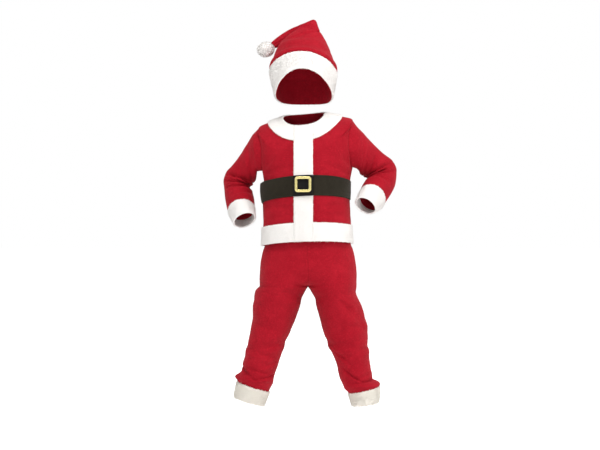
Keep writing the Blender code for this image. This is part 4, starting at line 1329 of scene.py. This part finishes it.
def make_belt():
    """The felt belt all round, its tab over the front strip, and the buckle."""
    grid = jacket_grid()
    felt = jacket_cloth(TRIMS["belt"])
    slack = belt_slack(felt.points)
    high = GAP + slack + rolled_edge(felt.to_rim, FELT_RIM, FELT, FELT_EDGE)
    make_cloth("belt", felt, high, GAP + slack, black_felt())
    on_placket = GAP + PLUSH + PLACKET_PLUMP
    tab = jacket_cloth(TRIMS["belt_tab"])
    high = on_placket + GAP + rolled_edge(tab.to_rim, FELT_RIM, FELT, FELT_EDGE)
    make_cloth("belt_tab", tab, high, on_placket + GAP, tab_felt())
    surface, normals, columns, rows = grid["surface"], grid["normals"], grid["columns"], grid["rows"]
    open_round = beyond_placket(columns)
    lines = []
    for row, steps in ((BELT_TOP, STITCH_RING), (BELT_BOTTOM, -STITCH_RING)):
        ids = grid["ids"][beside(rows, row, steps), open_round]
        height = GAP + FELT + STITCH_LIFT + belt_slack(surface.points[ids])
        lines.append(lifted(surface, normals, ids, height))
    sew("belt_stitches", lines, False, black_thread())
    make_buckle(on_placket + GAP + FELT)


def make_buckle(height):
    """A frame with rounded corners and a rounded section, lying on the tab."""
    sizes = bpy.context.scene.suit_buckle
    width, tall, bar, deep = (s / MM for s in (sizes.width, sizes.height, sizes.bar, sizes.depth))
    place = body_point(np.array(0.0), np.array((BELT_TOP + BELT_BOTTOM) / 2))
    way = np.array([math.sin(BODY_YAW), -math.cos(BODY_YAW), 0.0])
    right = np.array([math.cos(BODY_YAW), math.sin(BODY_YAW), 0.0])
    centre = place + way * (height + BUCKLE_LIFT + deep / 2)
    corner = BUCKLE_CORNER - bar / 2
    reach_x, reach_z = (width - bar) / 2 - corner, (tall - bar) / 2 - corner
    around, steps = 28, 12  # points round the bar's section, and steps round each corner
    turn = np.arange(around) * (2 * math.pi / around)
    rings = []
    for quarter, (sx, sz) in enumerate(((1, 1), (-1, 1), (-1, -1), (1, -1))):
        for step in range(steps + 1):
            angle = math.radians(90 * quarter + 90 / steps * step)
            out = math.cos(angle) * right + np.array([0, 0, math.sin(angle)])
            at = centre + sx * reach_x * right + np.array([0, 0, sz * reach_z]) + out * corner
            across = power(np.cos(turn), 0.72)[:, None] * bar / 2 * out
            up = power(np.sin(turn), 0.72)[:, None] * deep / 2 * way
            rings.append(at + across + up)
    count = len(rings)
    faces = []
    for i in range(count):
        here, ahead = i * around, (i + 1) % count * around
        for j in range(around):
            k = (j + 1) % around
            faces.append((here + j, ahead + j, ahead + k, here + k))
    put("buckle_frame", np.vstack(rings), faces, gold_plastic(), "buckle")


# Trousers


@functools.cache
def trousers_grid():
    """The trousers' surface, and the numbers of its points and faces in each half."""
    surface = Surface()
    t = samples((0, 0.5, 1), LEG_ROUND, STEP, {(0, 1), (1, -1), (1, 1), (2, -1)})
    hip_rows = samples(range(len(HIPS)), HIP_LENGTHS, STEP, {(0, 1)})
    shares = samples((0, 1), (LEG_LENGTH,), STEP, {(1, -1)})[1:]
    grid, seams = {"surface": surface}, None
    for side, word in ((1, "left"), (-1, "right")):
        hips = surface.add(hip_point(t[None, :], hip_rows[:, None], side))
        if seams is None:
            seams = hips[:, 0].copy(), hips[:, -1].copy()
            seams[1][-1] = seams[0][-1]  # the seams at front and back meet at the crotch
        hips[:, 0], hips[:, -1] = seams
        leg = surface.add(leg_point(t[None, :-1], shares[:, None], side))
        ids = np.vstack([hips, np.hstack([leg, leg[:, :1]])])
        down = samples((0, 1), (LEG_CUFF_LENGTH,), STEP, {(0, 1), (1, -1)})[1:, None, None]
        hem = leg_point(t[None, :-1], np.ones((1, 1)), side)
        end = leg_ring(LEFT_LEG_CUFF_END if side > 0 else RIGHT_LEG_CUFF_END, t[None, :-1])
        cuff_ids = np.vstack([ids[-1][None, :-1], surface.add(hem * (1 - down) + end * down)])
        middle, over = len(t) // 2, side < 0
        grid[word] = {
            "front": surface.weave(ids[:, : middle + 1], over=over),
            "back": surface.weave(ids[:, middle:], over=over),
            "cuff": surface.weave(cuff_ids, closed=True, over=over),
            "cuff_ids": cuff_ids,
            "rows": ids,
        }
    surface.ease(TROUSERS_EASE, 5)
    grid["normals"] = surface.normals()
    return grid


def make_trousers():
    """The four panels, the cuffs with their longer pile, and the waistband."""
    red, settings = red_fleece(), bpy.context.scene.suit_pile
    grid = trousers_grid()
    for word in ("left", "right"):
        for part in ("front", "back"):
            cloth = Cloth(grid["surface"], grid["normals"], grid[word][part])
            high = TROUSERS_SEAM * seam_groove(cloth.to_seam) + puckered(cloth, 0.3, 11.0)
            high = np.minimum(high, 0.5)
            make_cloth(f"trousers_{part}_{word}", cloth, high, -FLEECE, red, 0.8)
        make_cuff("leg_cuff_" + word, grid, word, LEG_PLUSH - FLEECE - LEG_TUFT,
                  settings.leg_tuft_length, settings.leg_tufts, cream_fur(), cream_pile())
    lines = [
        lifted(grid["surface"], grid["normals"], grid[word]["rows"][-1 - STITCH_RING, :-1], STITCH_LIFT)
        for word in ("left", "right")
    ]
    sew("trousers_stitches", lines, True, red_thread())
    make_waistband(red)


def make_waistband(finish):
    """The elastic casing, gathered in even waves, with shallow channels under its two rows of stitches."""
    surface = Surface()
    hip = HIPS[0]
    count = 14 * WAISTBAND_GATHERS
    angle = np.arange(count) * 2 * math.pi / count
    height = samples((0, 1), (WAISTBAND_HEIGHT,), 2.6, {(0, 1), (1, -1)})[:, None]
    channel = sum(np.exp(-(((height - share) / 0.05) ** 2)) for share in WAISTBAND_ROWS)
    wave = 1.5 * np.sin(WAISTBAND_GATHERS * angle + 1.3 * np.sin(3 * angle))[None, :] * (1 - 0.4 * channel)
    wave = wave - 0.7 * channel
    depth = -np.cos(angle)
    x = (hip.half_width - 2 + wave) * power(np.sin(angle), 0.87)
    y = power(depth, 0.87) * (np.where(depth < 0, hip.front, hip.back) - 2 + wave)
    z = hip.z_middle + 0.6 + WAISTBAND_HEIGHT * (1 - height) + 0 * wave
    ids = surface.add(stack(hip.center_x + x, y, z))
    faces = surface.weave(ids, closed=True)
    cloth = Cloth(surface, surface.normals(), faces)
    high = rolled_edge(cloth.to_rim, -0.6, 0.6, 1.6)
    make_cloth("waistband", cloth, high, -FLEECE, finish)
    lines = [
        lifted(surface, surface.normals(), ids[beside(height[:, 0], share, 0)], 0.6 + STITCH_LIFT)
        for share in WAISTBAND_ROWS
    ]
    sew("waistband_stitches", lines, True, red_thread())


# Hat


@functools.cache
def hat_grid():
    """The hat's surface, and the numbers of its points and faces."""
    surface = Surface()
    loops = np.array(HAT, float)
    widened = np.abs(np.diff(np.linalg.norm(loops[:, 3:5], axis=1)))
    lengths = np.hypot(np.linalg.norm(np.diff(loops[:, :3], axis=0), axis=1), widened)
    rows = samples(range(len(HAT)), lengths, STEP, {(0, 1), (HAT_BRIM_ROW, -1), (HAT_BRIM_ROW, 1)})
    turns = samples((0, 1, 2, 3, 4), HAT_ROUND, STEP, {(3, -1), (3, 1)})[:-1] * 90
    ids = surface.add(hat_point(turns[None, :], rows[:, None]))
    tip = surface.add(surface.points[ids[-1]].mean(axis=0))
    surface.weave(ids, closed=True)
    cap = np.array([(ids[-1][i], tip, tip, ids[-1][(i + 1) % len(turns)]) for i in range(len(turns))])
    surface.quads = np.vstack([surface.quads, cap])
    surface.ease(HAT_EASE, 8)
    back_seam = ids[rows > 0.9, beside(turns, 270, 0)]
    brim_top = beside(rows, HAT_BRIM_ROW, 0)
    return {
        "surface": surface,
        "normals": surface.normals(),
        "ids": ids,
        "back_seam": back_seam,
        "brim_top": brim_top,
    }


def make_crown():
    """The crown's cloth, which swells a little just above the brim."""
    grid = hat_grid()
    surface, normals, ids, brim_top = grid["surface"], grid["normals"], grid["ids"], grid["brim_top"]
    cloth = Cloth(surface, normals, surface.quads, grid["back_seam"])
    high = np.minimum(seam_groove(cloth.to_seam), 0.25) + puckered(cloth, 0.2, 8.0)
    above = distance_to(surface.points, cloth.used, ids[brim_top])
    puffed = np.isin(cloth.used, ids[brim_top + 1 :])
    swell = np.sin(np.pi * np.clip(above / HAT_PUFF_REACH, 0, 1) ** 0.55) ** 1.5
    high = high + np.where(puffed, HAT_PUFF * swell, 0)
    make_cloth("hat_crown", cloth, high, -FLEECE, red_fleece())
    line = lifted(surface, normals, ids[brim_top + STITCH_RING], HAT_STITCH_LIFT)
    sew("hat_stitches", [line], True, red_thread())


def make_brim():
    """The hat's brim, which lies on the crown's lower part."""
    grid, settings = hat_grid(), bpy.context.scene.suit_pile
    brim = Surface()
    brim.points = grid["surface"].points
    faces = brim.weave(grid["ids"][: grid["brim_top"] + 1], closed=True)
    cloth = Cloth(brim, grid["normals"], faces)
    high = GAP + rolled_edge(cloth.to_rim, TRIM_RIM, PLUSH - TUFT, BRIM_EDGE)
    high = high + uneven(cloth, cloth.to_rim, 0.4, 41)
    piece = make_cloth("hat_brim", cloth, high, GAP, white_plush())
    make_pile(piece, cloth, high, settings.tuft_length, settings.tufts, white_pile())


def make_pompom():
    """A round wad with long loose pile all over, on a cube's grid drawn out to a ball."""
    settings = bpy.context.scene.suit_pile
    side = np.tan(np.linspace(-1, 1, POMPOM_STEPS + 1) * math.pi / 4)
    a, b = np.meshgrid(side, side, indexing="ij")
    one = 0 * a + 1.0
    ball = Surface()
    for side_of_cube in ((one, a, b), (-one, b, a), (b, one, a), (a, -one, b), (a, b, one), (b, a, -one)):
        ways = stack(*side_of_cube)
        ball.weave(ball.add(ways / np.linalg.norm(ways, axis=-1, keepdims=True)))
    _, first, index = np.unique(np.round(ball.points, 6), axis=0, return_index=True, return_inverse=True)
    ways = ball.points[first]
    lumps = wander(ways * 90, 51) * 0.9
    ball.points = np.array(POMPOM) + ways * np.array(POMPOM_SQUASH) * (POMPOM_CORE + lumps)[:, None]
    ball.quads = index.reshape(-1)[ball.quads]
    faces = polygons(ball.quads)
    piece = put("pompom_core", ball.points, faces, white_plush(), "pompom")
    cloth = Cloth(ball, ways, ball.quads)
    make_pile(piece, cloth, 0.0, settings.pompom_length, settings.pompom_tufts, white_pile())


# Stage

LIGHTS = {  # place in metres, then size
    "key": ((-1.9, -3.4, 1.7), 1.6),
    "side": ((2.9, -0.9, 0.9), 1.4),
    "low": ((0.2, -3.6, -0.5), 2.2),
    "top": ((0.3, -1.5, 2.3), 1.0),
    "back": ((0.6, 2.8, 1.4), 1.8),
}
LIT_PLACE = (0.0, 0.0, -0.25)  # the lights are turned to the middle of the suit
SENSOR_WIDTH = 36.0


def make_floor(settings):
    """A pale floor that glows a little, more to the camera than on the suit."""
    floor = bpy.data.meshes.new("floor")
    reach = settings.reach
    corners = [(x * reach, y * reach, settings.floor) for x, y in ((-1, -1), (1, -1), (1, 1), (-1, 1))]
    floor.from_pydata(corners, [], [(0, 1, 2, 3)])
    pale, tree, shader = new_material("pale_floor", 0.95, Specular_IOR_Level=0.0, Emission_Color=(1, 1, 1, 1))
    grain = spread_out(tree, noise(tree, in_place(tree), 3.0, 2.0), 0.3, 0.7)
    tone = mixed(tree, grain, (0.93, 0.93, 0.93, 1), (0.95, 0.95, 0.95, 1))
    seen = add(tree, "ShaderNodeLightPath").outputs["Is Camera Ray"]
    glow = spread_out(tree, seen, 0.0, 1.0, settings.floor_bounce, settings.floor_glow)
    link(tree, (tone, shader.inputs["Base Color"]), (glow, shader.inputs["Emission Strength"]))
    floor.materials.append(pale)
    ground = bpy.data.objects.new("floor", floor)
    bpy.context.scene.collection.objects.link(ground)


def make_camera(settings):
    lens = bpy.data.cameras.new("camera")
    lens.sensor_width, lens.lens = SENSOR_WIDTH, settings.lens
    lens.clip_start, lens.clip_end = 0.1, 100.0
    camera = bpy.data.objects.new("camera", lens)
    camera.location = (settings.camera_x, settings.camera_y, settings.camera_z)
    camera.rotation_euler = (math.radians(90), 0, 0)
    bpy.context.scene.collection.objects.link(camera)
    bpy.context.scene.camera = camera


def make_lights(settings):
    for name, (place, size) in LIGHTS.items():
        light = bpy.data.lights.new(name, "AREA")
        light.size, light.energy = size, getattr(settings, name)
        lamp = bpy.data.objects.new(name, light)
        lamp.location = place
        lamp.rotation_mode = "QUATERNION"
        lamp.rotation_quaternion = Vector(np.array(LIT_PLACE) - np.array(place)).to_track_quat("-Z", "Y")
        bpy.context.scene.collection.objects.link(lamp)


def make_room(settings):
    """A white room: plain white to the camera, dimmer as light on the suit."""
    world = bpy.data.worlds.new("studio")
    world.use_nodes = True
    room = world.node_tree.nodes["Background"]
    room.inputs["Color"].default_value = (1, 1, 1, 1)
    seen = add(world.node_tree, "ShaderNodeLightPath").outputs["Is Camera Ray"]
    glow = spread_out(world.node_tree, seen, 0.0, 1.0, settings.surround, 1.0)
    link(world.node_tree, (glow, room.inputs["Strength"]))
    bpy.context.scene.world = world
    bpy.context.scene.view_settings.view_transform = "Standard"


def make_stage():
    settings = bpy.context.scene.suit_stage
    make_floor(settings)
    make_camera(settings)
    make_lights(settings)
    make_room(settings)


# Settings, operators and panel


def colour_setting(name, description, default):
    return FloatVectorProperty(
        name=name, description=description, subtype="COLOR", size=3, min=0, max=1, default=default
    )


def length_setting(name, description, default, **limits):
    return FloatProperty(name=name, description=description, unit="LENGTH", default=default, **limits)


def number_setting(name, description, default, low=0.0, **limits):
    return FloatProperty(name=name, description=description, default=default, min=low, **limits)


class SuitColours(bpy.types.PropertyGroup):
    red: colour_setting("Fleece", "Red of the fleece", (0.365, 0.0030, 0.0135))
    white: colour_setting("Plush", "White of the trims", (0.91, 0.888, 0.862))
    cream: colour_setting("Trouser cuffs", "Cream of the longer pile", (0.925, 0.89, 0.815))
    felt: colour_setting("Belt", "Black-brown of the belt", (0.019, 0.0150, 0.0085))
    tab: colour_setting("Tab", "Black of the piece under the buckle", (0.009, 0.008, 0.008))
    gold: colour_setting("Buckle", "Gold of the buckle", (0.86, 0.74, 0.30))


class SuitPile(bpy.types.PropertyGroup):
    tuft_length: length_setting("Trim pile", "Length of the short white pile", 0.0027, min=0.0005)
    leg_tuft_length: length_setting("Cuff pile", "Length of the trouser cuffs' pile", 0.0046, min=0.0005)
    pompom_length: length_setting("Pompom pile", "Length of the pompom's pile", 0.0034, min=0.0005)
    tufts: number_setting("Trim locks", "Locks on each square metre of the white trims", 250000.0)
    leg_tufts: number_setting("Cuff locks", "Locks on each square metre of the trouser cuffs", 230000.0)
    pompom_tufts: number_setting("Pompom locks", "Locks on each square metre of the pompom", 450000.0)
    spread: number_setting(
        "Root spread", "Width of a root against the room that each lock has", 0.85, low=0.1, max=2
    )
    lean: number_setting("Bend", "How far a lock's tip bends aside", 0.7, max=2)


class SuitBuckle(bpy.types.PropertyGroup):
    width: length_setting("Width", "Outside width of the buckle", 0.043)
    height: length_setting("Height", "Outside height of the buckle", 0.041)
    bar: length_setting("Bar", "Width of its frame", 0.007)
    depth: length_setting("Depth", "Its frame from front to back", 0.005)


class SuitStage(bpy.types.PropertyGroup):
    floor: length_setting("Floor", "Height of the floor", -0.812)
    reach: length_setting("Floor reach", "Half the side of the floor", 30.0)
    floor_glow: number_setting("Floor glow", "Light that the pale floor adds of its own", 0.60)
    floor_bounce: number_setting("Floor bounce", "The part of that light that reaches the suit", 0.20)
    lens: number_setting("Lens", "Focal length in millimetres", 90.57, low=10)
    camera_x: length_setting("Camera X", "The camera's place", -0.008)
    camera_y: length_setting("Camera Y", "The camera's place", -4.0)
    camera_z: length_setting("Camera Z", "The camera's place", -0.2835)
    key: number_setting("Key light", "Power in watts", 33.0)
    side: number_setting("Side light", "Power in watts", 34.0)
    top: number_setting("Top light", "Power in watts", 56.0)
    low: number_setting("Low light", "Power in watts", 3.0)
    back: number_setting("Back light", "Power in watts", 18.0)
    surround: number_setting("Surround", "Brightness of the white room", 0.55)


class SUIT_OT_stage(bpy.types.Operator):
    """Makes the floor, the lights and the camera"""

    bl_idname = "santa_suit.stage"
    bl_label = "Stage"

    def execute(self, context):
        make_stage()
        return {"FINISHED"}


class SUIT_OT_jacket(bpy.types.Operator):
    """Makes the jacket's three panels and both sleeves"""

    bl_idname = "santa_suit.jacket"
    bl_label = "Jacket and sleeves"

    def execute(self, context):
        make_jacket()
        return {"FINISHED"}


class SUIT_OT_trims(bpy.types.Operator):
    """Makes the collar, front strip, hem band and sleeve cuffs with their pile"""

    bl_idname = "santa_suit.trims"
    bl_label = "White trims"

    def execute(self, context):
        make_trims()
        return {"FINISHED"}


class SUIT_OT_belt(bpy.types.Operator):
    """Makes the felt belt, its tab and the buckle"""

    bl_idname = "santa_suit.belt"
    bl_label = "Belt and buckle"

    def execute(self, context):
        make_belt()
        return {"FINISHED"}


class SUIT_OT_trousers(bpy.types.Operator):
    """Makes the trousers, their waistband and their cuffs"""

    bl_idname = "santa_suit.trousers"
    bl_label = "Trousers"

    def execute(self, context):
        make_trousers()
        return {"FINISHED"}


class SUIT_OT_hat(bpy.types.Operator):
    """Makes the hat, its brim and the pompom"""

    bl_idname = "santa_suit.hat"
    bl_label = "Hat"

    def execute(self, context):
        make_crown()
        make_brim()
        make_pompom()
        return {"FINISHED"}


OPERATORS = (SUIT_OT_stage, SUIT_OT_jacket, SUIT_OT_trims, SUIT_OT_belt, SUIT_OT_trousers, SUIT_OT_hat)
GROUPS = {
    "suit_colours": SuitColours,
    "suit_pile": SuitPile,
    "suit_buckle": SuitBuckle,
    "suit_stage": SuitStage,
}


class SUIT_PT_panel(bpy.types.Panel):
    """Lists the suit's makers and settings"""

    bl_idname = "SUIT_PT_panel"
    bl_label = "Santa suit"
    bl_space_type = "VIEW_3D"
    bl_region_type = "UI"
    bl_category = "Santa suit"

    def draw(self, context):
        for operator in OPERATORS:
            self.layout.operator(operator.bl_idname)
        for name, group in GROUPS.items():
            box = self.layout.box()
            for setting in group.__annotations__:
                box.prop(getattr(context.scene, name), setting)


CLASSES = (*GROUPS.values(), *OPERATORS, SUIT_PT_panel)


def register():
    for cls in CLASSES:
        bpy.utils.register_class(cls)
    for name, group in GROUPS.items():
        setattr(bpy.types.Scene, name, PointerProperty(type=group))


def unregister():
    for name in GROUPS:
        delattr(bpy.types.Scene, name)
    for cls in reversed(CLASSES):
        bpy.utils.unregister_class(cls)


def main():
    register()
    bpy.ops.santa_suit.stage()
    bpy.ops.santa_suit.jacket()
    bpy.ops.santa_suit.trims()
    bpy.ops.santa_suit.belt()
    bpy.ops.santa_suit.trousers()
    bpy.ops.santa_suit.hat()


if __name__ == "__main__":
    main()
